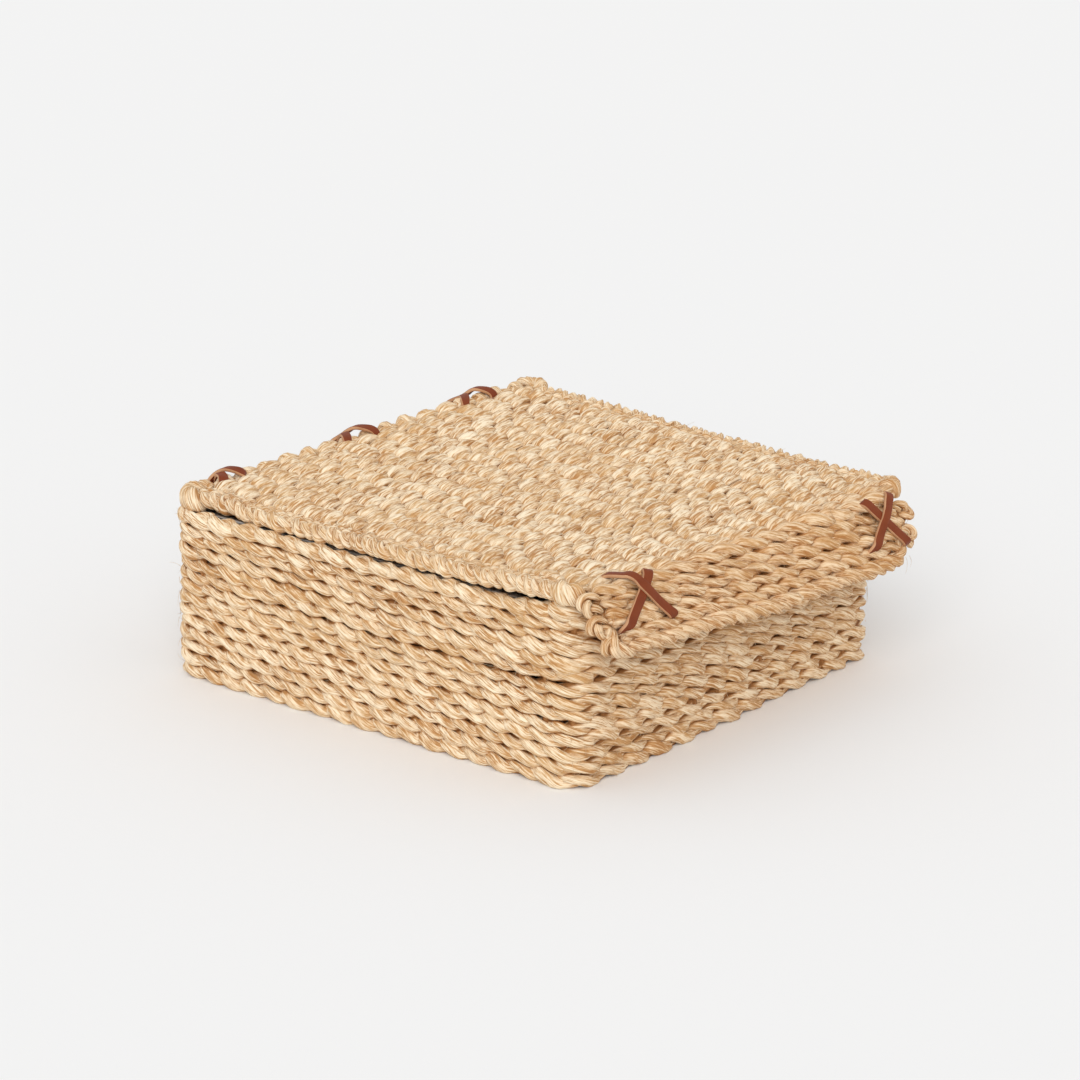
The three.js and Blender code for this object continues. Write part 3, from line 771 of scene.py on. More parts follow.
class NAPKINBOX_OT_frame(bpy.types.Operator):
    """Bends the wire rings and stands the wire posts in the corners"""

    bl_idname = "napkinbox.frame"
    bl_label = "Bend the wire frame"

    def execute(self, context):
        lot = seeded(5)
        inset = WALL + 0.3 + WIRE_RADIUS
        bend = CORNER - WALL + 2 * WIRE_RADIUS
        plan, _ = rounded_plan(np.array(BASKET) / 2 - inset, bend, 24)
        for name, z in (("frame_base_ring", 7.9), ("frame_rim_ring", RIM_TOP - 2.6)):
            ring = rods([at_height(plan, z)], WIRE_RADIUS, lot, sides=20, closed=True, fray=0)
            wired(f"{name}_wire", ring, name)
        for name in ("front_left", "front_right", "back_left", "back_right"):
            low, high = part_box(f"frame_post_{name}")
            plan = np.full((12, 2), (500 * (low.x + high.x), 500 * (low.y + high.y)))
            post = at_height(plan, np.linspace(1000 * low.z, 1000 * high.z, 12))
            radius = WIRE_RADIUS * rounded(12, 0.06)[None]
            made = rods([post], radius, lot, sides=20, normal=REARWARD, fray=0)
            wired(f"post_{name}_wire", made, f"frame_post_{name}")
        return {"FINISHED"}


# Lid

LID_YAW = math.radians(-2)
LID_ORIGIN = np.array([12.0, 98.5])
LID_SIDE, LID_BACK, LID_FRONT = 101.0, -4.0, -202.0


def lid_height(x, y):
    """Height of the middle of the lid's weave at a point of the lid's own plan.

    It is the straight surface through the four corners' heights, less a sag that is greatest
    at the middle of the depth, less the droop where it overhangs the right wall, plus a
    slow unevenness.
    """
    u, v = (x + LID_SIDE) / (2 * LID_SIDE), (LID_BACK - y) / (LID_BACK - LID_FRONT)
    back, front = 69.9 + 0.9 * u, 73.6 - 5.6 * u
    level = back + (front - back) * v
    sag = (1 - (2 * v - 1) ** 2) * (1.5 - 1.3 * ease(0.2, 0.9, u))
    droop = 1.6 * ease(0.86, 1.05, u) * ease(0.0, 0.5, v)
    ripple = 0.35 * np.sin(x / 23 + 0.7) * np.sin(y / 31 + 0.4) + 0.22 * np.sin(x / 9.5 + y / 14)
    return level - sag - droop + ripple


def lid_place(x, y, z):
    """Carries points of the lid's own plan, at given heights, into the part's frame."""
    c, s = math.cos(LID_YAW), math.sin(LID_YAW)
    x, y, z = np.broadcast_arrays(x, y, z)
    return np.stack([LID_ORIGIN[0] + c * x - s * y, LID_ORIGIN[1] + s * x + c * y, z], -1)


def lid_turn(vector):
    """Turns a direction of the lid's plan into the part's frame."""
    c, s = math.cos(LID_YAW), math.sin(LID_YAW)
    x, y, z = vector
    return np.array([c * x - s * y, s * x + c * y, z], float)


def lid_surface(x, y, over=0.0):
    """Points at a height over the middle of the lid's weave, at places of the lid's own plan."""
    return lid_place(x, y, lid_height(x, y) + over)


def flat_turn(start, turn_at, first, second, count):
    """A way there and back in a plane, as the ends of two neighbouring rows take it.

    It runs straight from start to turn_at along the line first, goes half round a circle,
    and comes back along the line second. Returns both coordinates, and the direction a
    quarter turn left of the way.
    """
    straight, radius = abs(turn_at - start), abs(second - first) / 2
    sign, climb = np.sign(turn_at - start), np.sign(second - first)
    run = np.linspace(0, 2 * straight + np.pi * radius, count)
    angle = np.clip((run - straight) / radius, 0, np.pi)
    x = start + sign * (np.minimum(run, straight) + radius * np.sin(angle))
    x = x - sign * np.maximum(run - straight - np.pi * radius, 0)
    y = (first + second) / 2 - climb * radius * np.cos(angle)
    return x, y, np.stack([-climb * np.sin(angle), sign * np.cos(angle)], 1)


LID_HAND = 1.0
LID_PITCH = (LID_BACK - LID_FRONT) / LID_ROWS
LID_END = 90.0
TURN_INSET = 6.2
LID_RIGHT, LID_REAR = lid_turn((1, 0, 0)), lid_turn((0, 1, 0))
TURN_SWING = (1.5, 1.25)
SIDES = (("left", -1), ("right", 1))


def knob_pull(y):
    """1 where the lid's left edge is drawn in next to its back corner, and 0 away from there."""
    return np.exp(-(((y - LID_BACK + 24) / 10.0) ** 2))


def lid_row(number, lot):
    """One row of the lid's weave, from one side's turns to the other's."""
    w = bpy.context.scene.napkin_weave
    x = np.linspace(-LID_END, LID_END, w.lid_stitches * w.steps)
    y = LID_FRONT + (number + 0.5) * LID_PITCH + unevenness(x, 260, 0.3, lot)
    middle = lid_surface(x, y, unevenness(x, 240, 0.15, lot))
    stitch = (x / LID_END + 1) / 2 * (w.lid_stitches - 1.0) + 0.5 + lot.normal(0, 0.2)
    return twined_row(
        middle, SKYWARD, LID_REAR, stitch, LID_PITCH / 2, lot, hand=LID_HAND, drift=0.18, slant=0.55,
        swell=1.2, bare=number in (0, w.lid_rows - 1), end=1.6, pinch=-0.04, twist=0.0,
    )


def lid_turns(sign, lot):
    """The places at one side of the lid where a row turns back into the next."""
    w = bpy.context.scene.napkin_weave
    made = []
    for first in range(0 if sign < 0 else 1, w.lid_rows - 1, 2):
        lines = LID_FRONT + (np.array([first, first + 1]) + 0.5) * LID_PITCH
        reach = LID_SIDE - TURN_INSET + lot.normal(0, 0.35)
        thin = knob_pull(lines[0]) if sign < 0 else 0.0
        x, y, left = flat_turn(sign * (LID_END - 2.5), sign * (reach - 1.6 * thin), *lines, 60)
        upward = np.stack([lid_turn((a, b, 0)) for a, b in left])
        stitch = np.linspace(0, 6.6 + lot.normal(0, 0.5), len(x)) + lot.uniform(0, 2)
        plump = 1 + lot.normal(0, 0.06)
        middle = lid_surface(x, y, 0.5 * thin)
        wide, high = 1.55 * plump, 1.75 * plump
        turns = rope(middle, SKYWARD, upward, stitch, lot, 2, TURN_SWING, wide, high, hand=-LID_HAND)
        made.append(turns)
    return made


def lid_edge(sign, lot):
    """The close-wound rope along one side of the lid, waving with the rows that turn there."""
    y = np.linspace(LID_FRONT + (4.0 if sign > 0 else 7.0), LID_BACK - 7.0, 460)
    wave = 0.8 * np.cos(np.pi * (y - LID_FRONT) / LID_PITCH)
    drawn_in = 4.5 * ease(14, 2, y - LID_FRONT) if sign > 0 else 1.6 * knob_pull(y)
    x = sign * (LID_SIDE - 3.9 + wave - drawn_in) + unevenness(y, 150, 0.3, lot)
    middle = lid_surface(x, y, unevenness(y, 120, 0.3, lot))
    stitch = y / 4.5 + unevenness(y, 180, 0.6, lot)
    return rope(middle, SKYWARD, LID_RIGHT, stitch, lot, 2, (1.35, 1.2), 1.95, 2.0, end=4.0)


def lid_corner(sign, lot):
    """The thick wraps that close the lid's two corners on one side."""
    made = []
    for corner_y, toward, reach in ((LID_BACK, 1, 6.2), (LID_FRONT, -1, 5.0)):
        angles = np.radians(np.array([-24.0, 4.0, 31.0, 58.0, 85.0]))
        out = np.stack([sign * np.cos(angles), toward * np.sin(angles)], 1)
        low = 4.5 if sign > 0 and toward < 0 else 0.0
        hub = np.array([sign * (LID_SIDE - TURN_INSET - low), corner_y - toward * 6.5])
        at = hub + out * reach
        inward = np.stack([lid_turn((-a, -b, 0)) for a, b in out])
        made.append(
            wraps(
                lid_surface(at[:, 0], at[:, 1]), inward, np.cross(SKYWARD, inward), lot, into=5.5,
                top=2.9 + lot.normal(0, 0.25, 5), bottom=2.9 if toward > 0 else 1.8,
                lean=2.6 + lot.normal(0, 0.5, 5), wide=2.2, thick=2.15,
            )
        )
    return made


class NAPKINBOX_OT_lid(bpy.types.Operator):
    """Weaves the lid: its rows, warps, turned sides and back border"""

    bl_idname = "napkinbox.lid"
    bl_label = "Weave the lid"

    def execute(self, context):
        w = context.scene.napkin_weave
        rows = [lid_row(i, seeded(600 + i)) for i in range(w.lid_rows)]
        half = w.lid_rows // 2
        woven("lid_front_weave", rows[:1], "lid", "lid_front_row")
        woven("lid_weave_front", rows[1:half], "lid", "lid_mat")
        woven("lid_weave_back", rows[half:-1], "lid", "lid_mat")
        lot = seeded(61)
        warp_x = LID_END * (2 * np.arange(w.lid_stitches) / (w.lid_stitches - 1.0) - 1)
        y = np.linspace(LID_FRONT + 1.5, LID_BACK - 1, 40)
        warps = skin(lid_surface(warp_x[:, None], y[None]), LID_RIGHT, SKYWARD, 1.7, 0.9, lot, **STAKE)
        y = np.linspace(LID_FRONT + 6, LID_BACK - 1, 40)
        sides = lid_surface(np.array([[-91.5], [91.5]]), y[None])
        # The side bands: a darker tone, and a rise of 1.2 mm that puts them partly in the painted gap
        # shade.
        bands = skin(sides, LID_RIGHT, SKYWARD, 3.4, 1.7, lot, tone=-0.1, rise=1.2, sides=10)
        woven("lid_warps", [warps, bands], "lid")
        count = len(warp_x)
        knots_x = warp_x + lot.normal(0, 0.4, count)
        folds = wraps(
            lid_surface(knots_x, LID_BACK - 0.6 + lot.normal(0, 0.4, count)), -LID_REAR, LID_RIGHT, lot,
            into=5.0, top=3.1 + lot.normal(0, 0.2, count), bottom=2.8,
            lean=1.8 + lot.normal(0, 0.5, count), wide=2.6, thick=1.3,
        )
        woven("lid_back_folds", [rows[-1], folds], "lid", "lid_back_border")
        for name, sign in SIDES:
            lot = seeded(70 + sign)
            skins = lid_turns(sign, lot) + lid_corner(sign, lot) + [lid_edge(sign, lot)]
            woven(f"lid_selvedge_{name}_turns", skins, "lid", f"lid_selvedge_{name}")
        return {"FINISHED"}


# Flap

FLAP_ANGLE = math.radians(26)
FLAP_SIN, FLAP_COS = math.sin(FLAP_ANGLE), math.cos(FLAP_ANGLE)
FLAP_LEFT, FLAP_RIGHT = -102.0, 91.0
FLAP_END = 9.5
FLAP_DROP = 25.0
FOLD_Y = -204.9


def leaning(angle):
    """Outward and upward directions of a row of the flap that leans out by an angle."""
    c, s = math.cos(angle), math.sin(angle)
    return lid_turn((0, -c, s)), lid_turn((0, s, c))


FLAP_OUT, FLAP_UP = leaning(FLAP_ANGLE)


def fold_height(x):
    """Height of the middle of the fold at a place along the lid's front edge."""
    return lid_height(x, LID_FRONT) - 0.3


def flap_place(x, down, out):
    """Points of the flap: x along the fold, down from it, and out of the flap's middle."""
    y = FOLD_Y - down * FLAP_SIN - out * FLAP_COS
    z = fold_height(x) - down * FLAP_COS + out * FLAP_SIN
    return lid_place(x, y, z)


def flap_span(down):
    """Where the flap's ends stand at a distance down from the fold."""
    left = FLAP_LEFT + 6.5 * ease(6, 27, down)
    right = FLAP_RIGHT - 4.0 * ease(6, -3, down) - 8.5 * ease(10, 26, down)
    return left, right


def flap_length(x):
    """How far down the flap's lower edge hangs."""
    return 23.4 + 3.0 * ease(-60, 0, x)


def flap_line(number):
    """Share of the flap's length at which the middle of a row lies: row 0 is the fold."""
    w = bpy.context.scene.napkin_weave
    return np.asarray(number) / (w.flap_rows + 0.75)


def flap_row(number, lot):
    """One row of the flap's weave, from one end's turns to the other's."""
    w = bpy.context.scene.napkin_weave
    stitches = w.flap_stitches
    left, right = flap_span(FLAP_DROP * flap_line(number))
    x = np.linspace(left + FLAP_END, right - FLAP_END, stitches * w.steps)
    down = flap_length(x) * flap_line(number) + unevenness(x, 260, 0.3, lot)
    middle = flap_place(x, down, unevenness(x, 240, 0.25, lot))
    outward, upward = leaning(math.radians(58)) if number == 0 else (FLAP_OUT, FLAP_UP)
    stitch = np.linspace(0.5, stitches - 0.5, len(x)) + lot.normal(0, 0.15)
    half = 25.5 * flap_line(1) / 2 * (1.2 if number == 0 else 1.03)
    bare = number in (0, w.flap_rows)
    return twined_row(middle, outward, upward, stitch, half, lot, slant=1.4, bare=bare, end=1.6)


def flap_turns(sign, lot):
    """The places at one end of the flap where a row turns back into the next."""
    w = bpy.context.scene.napkin_weave
    made = []
    for first in range(0 if sign < 0 else 1, w.flap_rows, 2):
        lines = flap_line(np.array([first, first + 1]))
        ends = flap_span(FLAP_DROP * lines.mean())[0 if sign < 0 else 1]
        reach = ends - sign * 5.0 + lot.normal(0, 0.3)
        start = ends - sign * (FLAP_END + 0.3)
        x, share, left = flat_turn(start - sign * 2.0, reach, *(FLAP_DROP * lines), 60)
        middle = flap_place(x, share / FLAP_DROP * flap_length(x), 0 * x)
        upward = np.outer(left[:, 0], LID_RIGHT) - np.outer(left[:, 1], FLAP_UP)
        stitch = np.linspace(0, 3.4 + lot.normal(0, 0.4), len(x)) + lot.uniform(0, 2)
        plump = 1 + lot.normal(0, 0.05)
        wide, high = 1.75 * plump, 2.0 * plump
        made.append(rope(middle, FLAP_OUT, upward, stitch, lot, 2, TURN_SWING, wide, high))
    return made


class NAPKINBOX_OT_flap(bpy.types.Operator):
    """Weaves the flap: the fold row, its rows, its turned ends and the rope of its lower edge"""

    bl_idname = "napkinbox.flap"
    bl_label = "Weave the flap"

    def execute(self, context):
        w = context.scene.napkin_weave
        rows = [flap_row(i, seeded(800 + i)) for i in range(w.flap_rows + 1)]
        woven("flap_fold_weave", rows[:1], "flap", "flap_top_row")
        lot = seeded(83)
        warp_x = np.linspace(FLAP_LEFT + FLAP_END, FLAP_RIGHT - FLAP_END, w.flap_stitches)
        down = flap_length(warp_x)[:, None] * np.linspace(0, 0.92, 10)
        near, far = flap_span(down)
        warp_share = np.linspace(0, 1, w.flap_stitches)[:, None]
        warp = flap_place(near + FLAP_END + warp_share * (far - near - 2 * FLAP_END), down, 0 * down)
        warps = skin(warp, LID_RIGHT, FLAP_OUT, 1.7, 0.9, lot, **STAKE)
        woven("flap_weave", rows[1:-1] + [warps], "flap", "flap_mat")
        left, right = flap_span(26.0)
        corners = [(left + 3.0, -12.0), (left + 2.6, -6.0), (left + 6.0, -2.6), (left + 16.0, -2.3)]
        corners += [(left + 60.0, -2.3), (right - 60.0, -2.3)]
        corners += [(right - 18.0, -2.3), (right - 9.5, -3.2), (right - 6.0, -6.8), (right - 6.6, -13.0)]
        x, rest = through(corners, (w.flap_stitches + 2) * w.steps).T
        down = flap_length(x) + rest + unevenness(x, 200, 0.4, lot)
        middle = flap_place(x, down, 0.4 + unevenness(x, 90, 0.35, lot))
        upward = unit(np.cross(FLAP_OUT, way_along(middle)))
        stitch = np.linspace(0, w.flap_stitches + 2, len(x)) + unevenness(x, 200, 0.25, lot)
        border = rope(
            middle, FLAP_OUT, upward, stitch, lot, 3, (1.5, 1.35), 1.65, 1.75, 1.75, hand=-1.0, end=2.0
        )
        woven("flap_border_rope", [rows[-1], border], "flap", "flap_border")
        for name, sign in SIDES:
            turns = flap_turns(sign, seeded(90 + sign))
            woven(f"flap_end_{name}_turns", turns, "flap", f"flap_selvedge_{name}")
        return {"FINISHED"}


# Laces


def strap(centre, face, width, thickness, lot, sides=20):
    """A flat lace along a line of points, its face towards the given directions.

    The section is the superellipse |a / half width|**5 + |b / half thickness|**5 = 1. The raw
    edge is the part beyond 0.97 of the half width that isn't on a face.
    """
    steps = len(centre)
    way = way_along(centre)
    face = square_to(face, way)
    side = np.cross(way, face)
    turn = np.linspace(0, 2 * np.pi, sides, endpoint=False)
    a = np.sign(np.cos(turn)) * np.abs(np.cos(turn)) ** 0.4
    b = np.sign(np.sin(turn)) * np.abs(np.sin(turn)) ** 0.4
    worn = 1 + 0.04 * unevenness(np.arange(steps), steps, 1.0, lot)[:, None]
    points = (
        centre[:, None]
        + side[:, None] * (a * width / 2 * worn)[..., None]
        + face[:, None] * (b * thickness / 2 * np.ones_like(worn))[..., None]
    )
    quads, fans = faces(1, steps, sides, False, np.sum(np.cross(side, face) * way) < 0)
    raw = np.broadcast_to((np.abs(a) > 0.97) * (np.abs(b) < 0.97) * 1.0, (steps, sides)).reshape(-1, 1)
    co = np.concatenate([points.reshape(-1, 3), centre[:1], centre[-1:]])
    painted_shade_and_raw_edge = np.concatenate([raw, [[1.0], [1.0]]])
    parts = {"co": co, "fibre": co, "tone": 0 * painted_shade_and_raw_edge, "painted_shade_and_raw_edge": painted_shade_and_raw_edge}
    return {**parts, "quads": quads, "fans": fans}


def laced(name, straps, node):
    """A piece of dyed leather, made of its straps' skins."""
    return piece(name, straps, mixed("dyed_leather", lace_paint), None, "lace_leather", node)


def lace_sizes():
    laces = bpy.context.scene.napkin_laces
    return 1000 * laces.width, 1000 * laces.thickness


EDGE_SLOPE = 0.035
HINGE_CROSSES = (("left", (-70.5, -59), -66), ("middle", (-2.5, 14.5), 4), ("right", (67, 85), 77))
# Of flap laces: way on the fold as (run, x), start behind the fold, and length down the flap
FLAP_CROSSES = {
    "left": [
        (((0.0, -64.0), (8.1, -72.0), (20.2, -87.2)), -2.8, 13.6),
        (((-5.0, -80.0), (8.1, -72.0), (20.7, -60.7)), 5.0, 14.3),
    ],
    "right": [(((0.0, 57.5), (24.8, 78.0)), -5.6, 18.4), (((0.0, 81.0), (23.1, 57.5)), -5.6, 16.6)],
}
CROSS_RUN = 11.2  # where a pair of flap laces crosses, unless its way says so
FOLD_RUN = 5.6
FOLD_STEP = FOLD_RUN / 4


class NAPKINBOX_OT_hinge_laces(bpy.types.Operator):
    """Crosses the three pairs of hinge laces over the lid's back edge"""

    bl_idname = "napkinbox.hinge_laces"
    bl_label = "Lace the lid to the back wall"

    def execute(self, context):
        width, thickness = lace_sizes()
        for name, tops, foot in HINGE_CROSSES:
            x = sum(tops) / 2
            lot = seeded(int(1000 + x))
            straps = []
            back = LID_ORIGIN[1] + LID_BACK - EDGE_SLOPE * (x - LID_ORIGIN[0])
            z = float(lid_height(x - LID_ORIGIN[0], LID_BACK))
            for turn, (start, end) in enumerate(zip(tops, (foot + 6, foot - 6))):
                lift = 1.3 * turn

                def at(share, y, height):
                    return start + share * (end - start), y, height

                points = [
                    at(0, back - 11.0, z - 4.2), at(0, back - 7.4, z - 3.4), at(0, back - 6.6, z + 1.0),
                    at(0.03, back - 5.4, z + 3.5 + 0.2 * lift), at(0.2, back - 3.0, z + 4.3 + 0.7 * lift),
                    at(0.38, back + 0.2, z + 4.0 + lift), at(0.55, back + 3.2, z + 1.4 + lift),
                    at(0.68, 101.2 + 0.7 * lift, z - 1.2), at(0.85, 102.1, z - 6.5), at(1, 102.0, 58.4),
                    at(1, 98.6, 56.6), at(1, 93.0, 56.4), at(1, 91.2, 54.5), at(1, 91.2, 50.5),
                ]
                centre = through(points, 70)
                way = way_along(centre)
                face = np.cross(way, (1.0, 0.0, 0.0))
                inside = np.array([x, 86.0, 62.0])  # in the box, away from which the faces look
                away = np.sum(face * (centre - inside), -1, keepdims=True)
                face = face * np.sign(away + 1e-9)
                straps.append(strap(centre, smooth_rows(face), width, thickness, lot))
            made = laced(f"hinge_straps_{name}", straps, f"hinge_lace_{name}")
            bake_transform(made)
        return {"FINISHED"}


def smooth_rows(vectors):
    """Evens out a line of directions by averaging each with its neighbours, five times."""
    for _ in range(5):
        padded = np.concatenate([vectors[:1], vectors, vectors[-1:]])
        vectors = unit(padded[:-2] + padded[1:-1] + padded[2:])
    return vectors


class NAPKINBOX_OT_flap_laces(bpy.types.Operator):
    """Crosses the two pairs of laces from the lid's front edge down the flap"""

    bl_idname = "napkinbox.flap_laces"
    bl_label = "Lace the flap to the lid"

    def execute(self, context):
        width, thickness = lace_sizes()
        for name, ends in FLAP_CROSSES.items():
            lot = seeded(1200 + len(name))
            straps = []
            for turn, (way, rear, foot) in enumerate(ends):
                centre, face = flap_lace_line(way, rear, foot, 1.25 * turn)
                straps.append(strap(centre, face, width, thickness, lot))
            made = laced(f"flap_straps_{name}", straps, f"flap_lace_{name}")
            start = lid_place(0.0, LID_FRONT + 1.0, 75.0) / 1000
            end = lid_place(0.0, FOLD_Y - 2.5, 71.0) / 1000
            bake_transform(made)
        return {"FINISHED"}


def flap_lace_line(way, rear, foot, lift):
    """The line of one flap lace and the directions that its face looks in.

    It comes up through the lid at rear behind the fold, or out of the fold's turn where rear
    is negative, goes down the flap's face, and dives in at the foot. The way is a list of
    (run, x): the run is 0 where the fold begins to turn down and grows by 5.6 mm over the
    turn. Where the pair crosses, the lace bows out by lift.
    """
    reach, steep = 4.6, math.pi - FLAP_ANGLE
    runs, places = zip(*way)
    crossing = runs[1] if len(runs) > 2 else CROSS_RUN
    table = []

    def add(run, y, z, look):
        x = float(np.interp(run, runs, places))
        table.append([x, y, float(fold_height(x)) + z, 0.0, *look])

    def on_flap(down, out):
        return FOLD_Y - down * FLAP_SIN - out * FLAP_COS, -down * FLAP_COS + out * FLAP_SIN

    def bow(run):
        return reach + lift * math.exp(-(((run - crossing) / 4.5) ** 2))

    if rear > 0:
        add(-rear, FOLD_Y + rear + 1.2, -1.0, (0.9, 0.5))
        add(-rear, FOLD_Y + rear + 1.0, 2.4, (0.6, 1.0))
        add(-rear, FOLD_Y + rear, 4.3, (0.1, 1.0))
    first = 0 if rear > 0 else round(-rear / FOLD_STEP)
    angles = np.linspace(math.radians(84), steep, 5)
    if first:
        c, d = math.cos(angles[first - 1]), math.sin(angles[first - 1])
        for out, tip in ((-1.0, 1.5), (2.2, 0.8), (4.0, 0.1)):
            add(FOLD_STEP * (first - 1), FOLD_Y + out * c, out * d, (c + tip * d, d - tip * c))
    for k, angle in list(enumerate(angles))[first:]:
        c, d = math.cos(angle), math.sin(angle)
        grow = bow(FOLD_STEP * k) + 0.5 * math.sin(math.pi * k / 4)
        add(FOLD_STEP * k, FOLD_Y + grow * c, grow * d, (c, d))
    for down in np.linspace(1.5, foot - 1.2, 6):
        add(FOLD_RUN + down, *on_flap(down, bow(FOLD_RUN + down)), (-FLAP_COS, FLAP_SIN))
    for extra, out in ((0.0, 3.6), (0.7, 1.0), (0.7, -1.5)):
        add(runs[-1], *on_flap(foot + extra, out), (-FLAP_COS, FLAP_SIN - 1.2))
    table = through(table, 64)
    centre = lid_place(table[:, 0], table[:, 1], table[:, 2])
    face = np.stack([lid_turn(v) for v in table[:, 3:]])
    return centre, smooth_rows(unit(face))


# Stray fibres


class NAPKINBOX_OT_strays(bpy.types.Operator):
    """Lets fine loose fibres stand out of the weave"""

    bl_idname = "napkinbox.strays"
    bl_label = "Pull out stray fibres"

    def execute(self, context):
        for body, count, seed in (("basket", 520, 1), ("lid", 420, 2), ("flap", 120, 3)):
            lot = seeded(1500 + seed)
            if body == "basket":
                plan, out = wall_line(lot.uniform(0, 60, count), 0.6)
                foot = np.concatenate([plan, lot.uniform(2, 64, (count, 1))], 1)
                out = at_height(out, 0.0)
            elif body == "lid":
                x, y = lot.uniform(-96, 96, count), lot.uniform(LID_FRONT, LID_BACK, count)
                foot = lid_surface(x, y, 3.2)
                out = np.broadcast_to(SKYWARD, foot.shape)
            else:
                x, down = lot.uniform(-98, 86, count), lot.uniform(2, 24, count)
                near, far = flap_span(down)
                x = np.clip(x, near + 5.0, far - 5.0)
                foot = flap_place(x, down, 3.0 + 0 * x)
                out = np.broadcast_to(FLAP_OUT, foot.shape)
            way = unit(lot.normal(0, 1, (count, 3)))
            way = square_to(way, out)
            curl = np.cross(out, way)
            t = np.linspace(0, 1, 9)[None, :, None]
            long = lot.uniform(2, 5, (count, 1, 1)) + lot.uniform(0, 2.6, (count, 1, 1)) ** 2
            stand = lot.uniform(0.1, 1.5, (count, 1, 1)) ** 1.5
            bend = lot.normal(0, 1.6, (count, 1, 1))
            lines = (
                foot[:, None] + way[:, None] * long * t + out[:, None] * stand * (t * (1.7 - t))
                + curl[:, None] * bend * t**2 - out[:, None] * 0.4
            )
            lines[..., 2] = np.maximum(lines[..., 2], 0.2)
            radius = 0.075 * (1 - 0.6 * t[..., 0])
            hairs = rods(lines, radius, lot, normal=(0.3, 0.5, 0.8), sides=4, fray=0, tone=0.3)
            woven(f"stray_fibres_{body}", [hairs], body)
        return {"FINISHED"}


# Stage

FLOOR_HALF = 8.0
PHOTO_SIZE = 1080
CAMERA_AZIMUTH, CAMERA_RISE = math.radians(-50.96), math.radians(18.35)
CAMERA_TARGET, CAMERA_DISTANCE = Vector((0.00821, 0.00037, 0.04793)), 1.45263


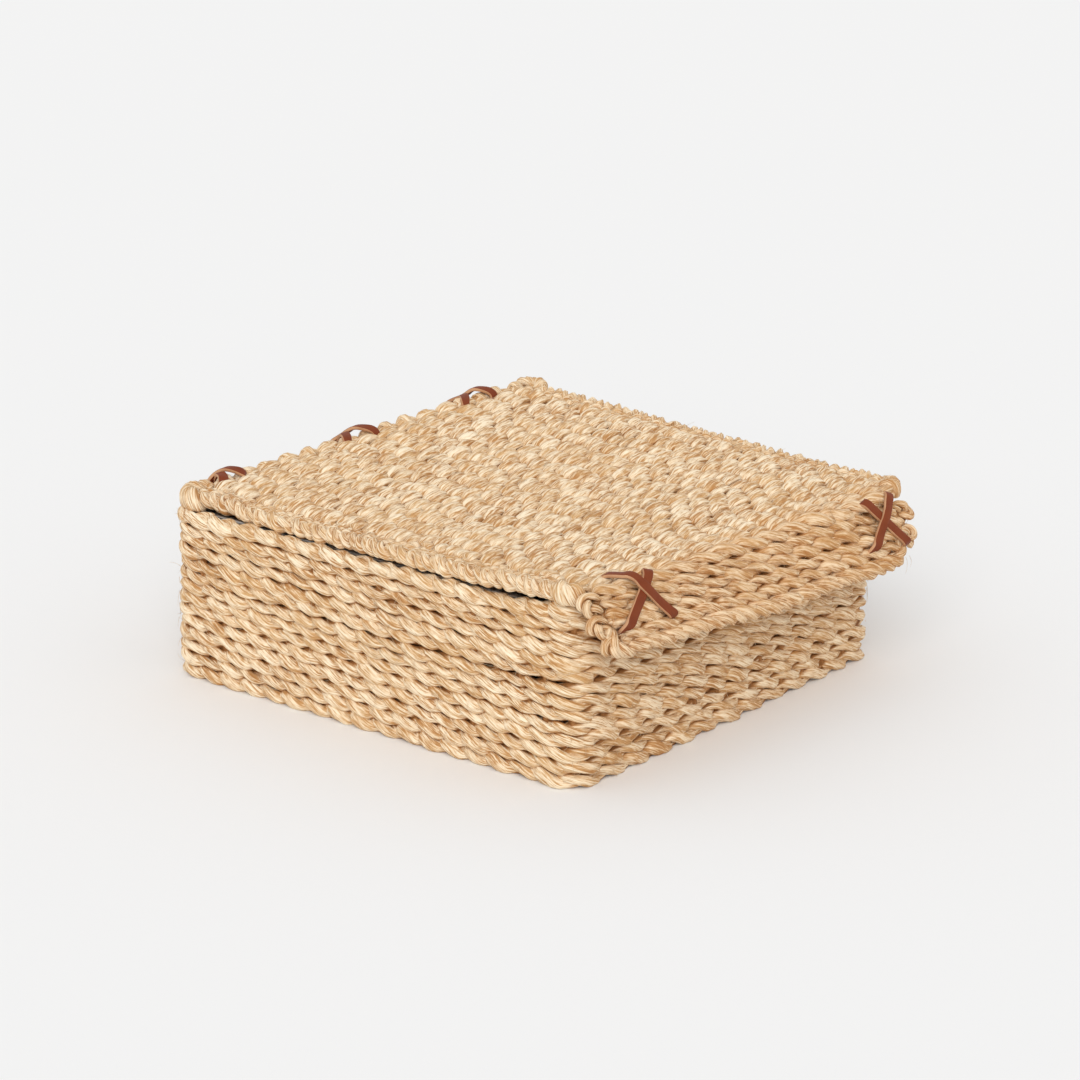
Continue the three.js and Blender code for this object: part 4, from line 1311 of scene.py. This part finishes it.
class NAPKINBOX_OT_stage(bpy.types.Operator):
    """Lays the floor, hangs the lamp and stands the camera"""

    bl_idname = "napkinbox.stage"
    bl_label = "Set the stage"

    def execute(self, context):
        scene, stage = context.scene, context.scene.napkin_stage
        p = Paint(bpy.data.materials.new("floor_paper"))
        fleck = p.noise(p.place(), 3.0, 2.0)
        shade = p.mix(p.span(fleck, 0.3, 0.7, 0.0, 0.02), stage.floor, (0.8, 0.8, 0.8))
        paper = p.finish({"Base Color": shade, "Roughness": 1.0, "Specular IOR Level": 0.0})
        mesh = bpy.data.meshes.new("floor")
        s = FLOOR_HALF
        mesh.from_pydata([(-s, -s, 0), (s, -s, 0), (s, s, 0), (-s, s, 0)], [], [(0, 1, 2, 3)])
        mesh.materials.append(paper)
        floor = bpy.data.objects.new("floor", mesh)
        scene.collection.objects.link(floor)
        world = bpy.data.worlds.new("studio")
        scene.world = world
        light = Paint(world)
        rays = light.add("ShaderNodeLightPath").outputs
        kinds = {0: rays["Is Camera Ray"], 1: rays["Is Glossy Ray"]}
        seen = light.add("ShaderNodeMath", {"operation": "MAXIMUM"}, kinds)
        sky = light.add("ShaderNodeBackground", None, {"Color": (1, 1, 1, 1), "Strength": stage.sky})
        wall = light.add("ShaderNodeBackground", None, {"Color": (*stage.backdrop, 1)})
        shares = {0: seen.outputs[0], 1: sky.outputs[0], 2: wall.outputs[0]}
        both = light.add("ShaderNodeMixShader", None, shares)
        light.add("ShaderNodeOutputWorld", None, {"Surface": both.outputs[0]})
        lamp = bpy.data.lights.new("main_lamp", "SUN")
        lamp.energy, lamp.angle = stage.sun, stage.softness
        lamp.color = (1.0, 0.995, 0.985)
        sun = bpy.data.objects.new("main_lamp", lamp)
        sun.rotation_mode = "QUATERNION"
        sun.rotation_quaternion = Vector((-0.70, -0.45, 0.55)).to_track_quat("Z", "Y")
        scene.collection.objects.link(sun)
        camera = bpy.data.cameras.new("photo_camera")
        camera.lens, camera.sensor_width = stage.lens, 36.0
        camera.shift_x, camera.shift_y = 2.03 / PHOTO_SIZE, 0.38 / PHOTO_SIZE
        camera.clip_start, camera.clip_end = 0.05, 50
        a, e = CAMERA_AZIMUTH, CAMERA_RISE
        back = Vector((math.sin(a) * math.cos(e), -math.cos(a) * math.cos(e), math.sin(e)))
        right = Vector((math.cos(a), math.sin(a), 0))
        up = back.cross(right)
        eye = CAMERA_TARGET + back * CAMERA_DISTANCE
        turn = Matrix((right, up, back)).transposed().to_4x4()
        view = bpy.data.objects.new("photo_camera", camera)
        view.matrix_world = Matrix.Translation(eye) @ turn
        scene.collection.objects.link(view)
        scene.camera = view
        scene.view_settings.view_transform = "Standard"
        return {"FINISHED"}


class NAPKINBOX_PT_panel(bpy.types.Panel):
    """Lists the steps that build the napkin box"""

    bl_idname = "NAPKINBOX_PT_panel"
    bl_label = "Woven napkin box"
    bl_space_type = "VIEW_3D"
    bl_region_type = "UI"
    bl_category = "Napkin box"

    def draw(self, context):
        for maker in MAKERS:
            self.layout.operator(maker.bl_idname)
        scene = context.scene
        for group in (scene.napkin_weave, scene.napkin_laces, scene.napkin_stage):
            box = self.layout.box()
            for key in group.__annotations__:
                box.prop(group, key)


MAKERS = (
    NAPKINBOX_OT_stage,
    NAPKINBOX_OT_walls,
    NAPKINBOX_OT_rim,
    NAPKINBOX_OT_base,
    NAPKINBOX_OT_frame,
    NAPKINBOX_OT_lid,
    NAPKINBOX_OT_flap,
    NAPKINBOX_OT_hinge_laces,
    NAPKINBOX_OT_flap_laces,
    NAPKINBOX_OT_strays,
)
GROUPS = (NapkinBoxWeave, NapkinBoxLaces, NapkinBoxStage)


def register():
    for made in (*GROUPS, *MAKERS, NAPKINBOX_PT_panel):
        bpy.utils.register_class(made)
    bpy.types.Scene.napkin_weave = PointerProperty(type=NapkinBoxWeave)
    bpy.types.Scene.napkin_laces = PointerProperty(type=NapkinBoxLaces)
    bpy.types.Scene.napkin_stage = PointerProperty(type=NapkinBoxStage)


def unregister():
    del bpy.types.Scene.napkin_stage, bpy.types.Scene.napkin_laces, bpy.types.Scene.napkin_weave
    for made in reversed((*GROUPS, *MAKERS, NAPKINBOX_PT_panel)):
        bpy.utils.unregister_class(made)


def main():
    register()
    for maker in MAKERS:
        group, name = maker.bl_idname.split(".")
        getattr(getattr(bpy.ops, group), name)()


if __name__ == "__main__":
    main()
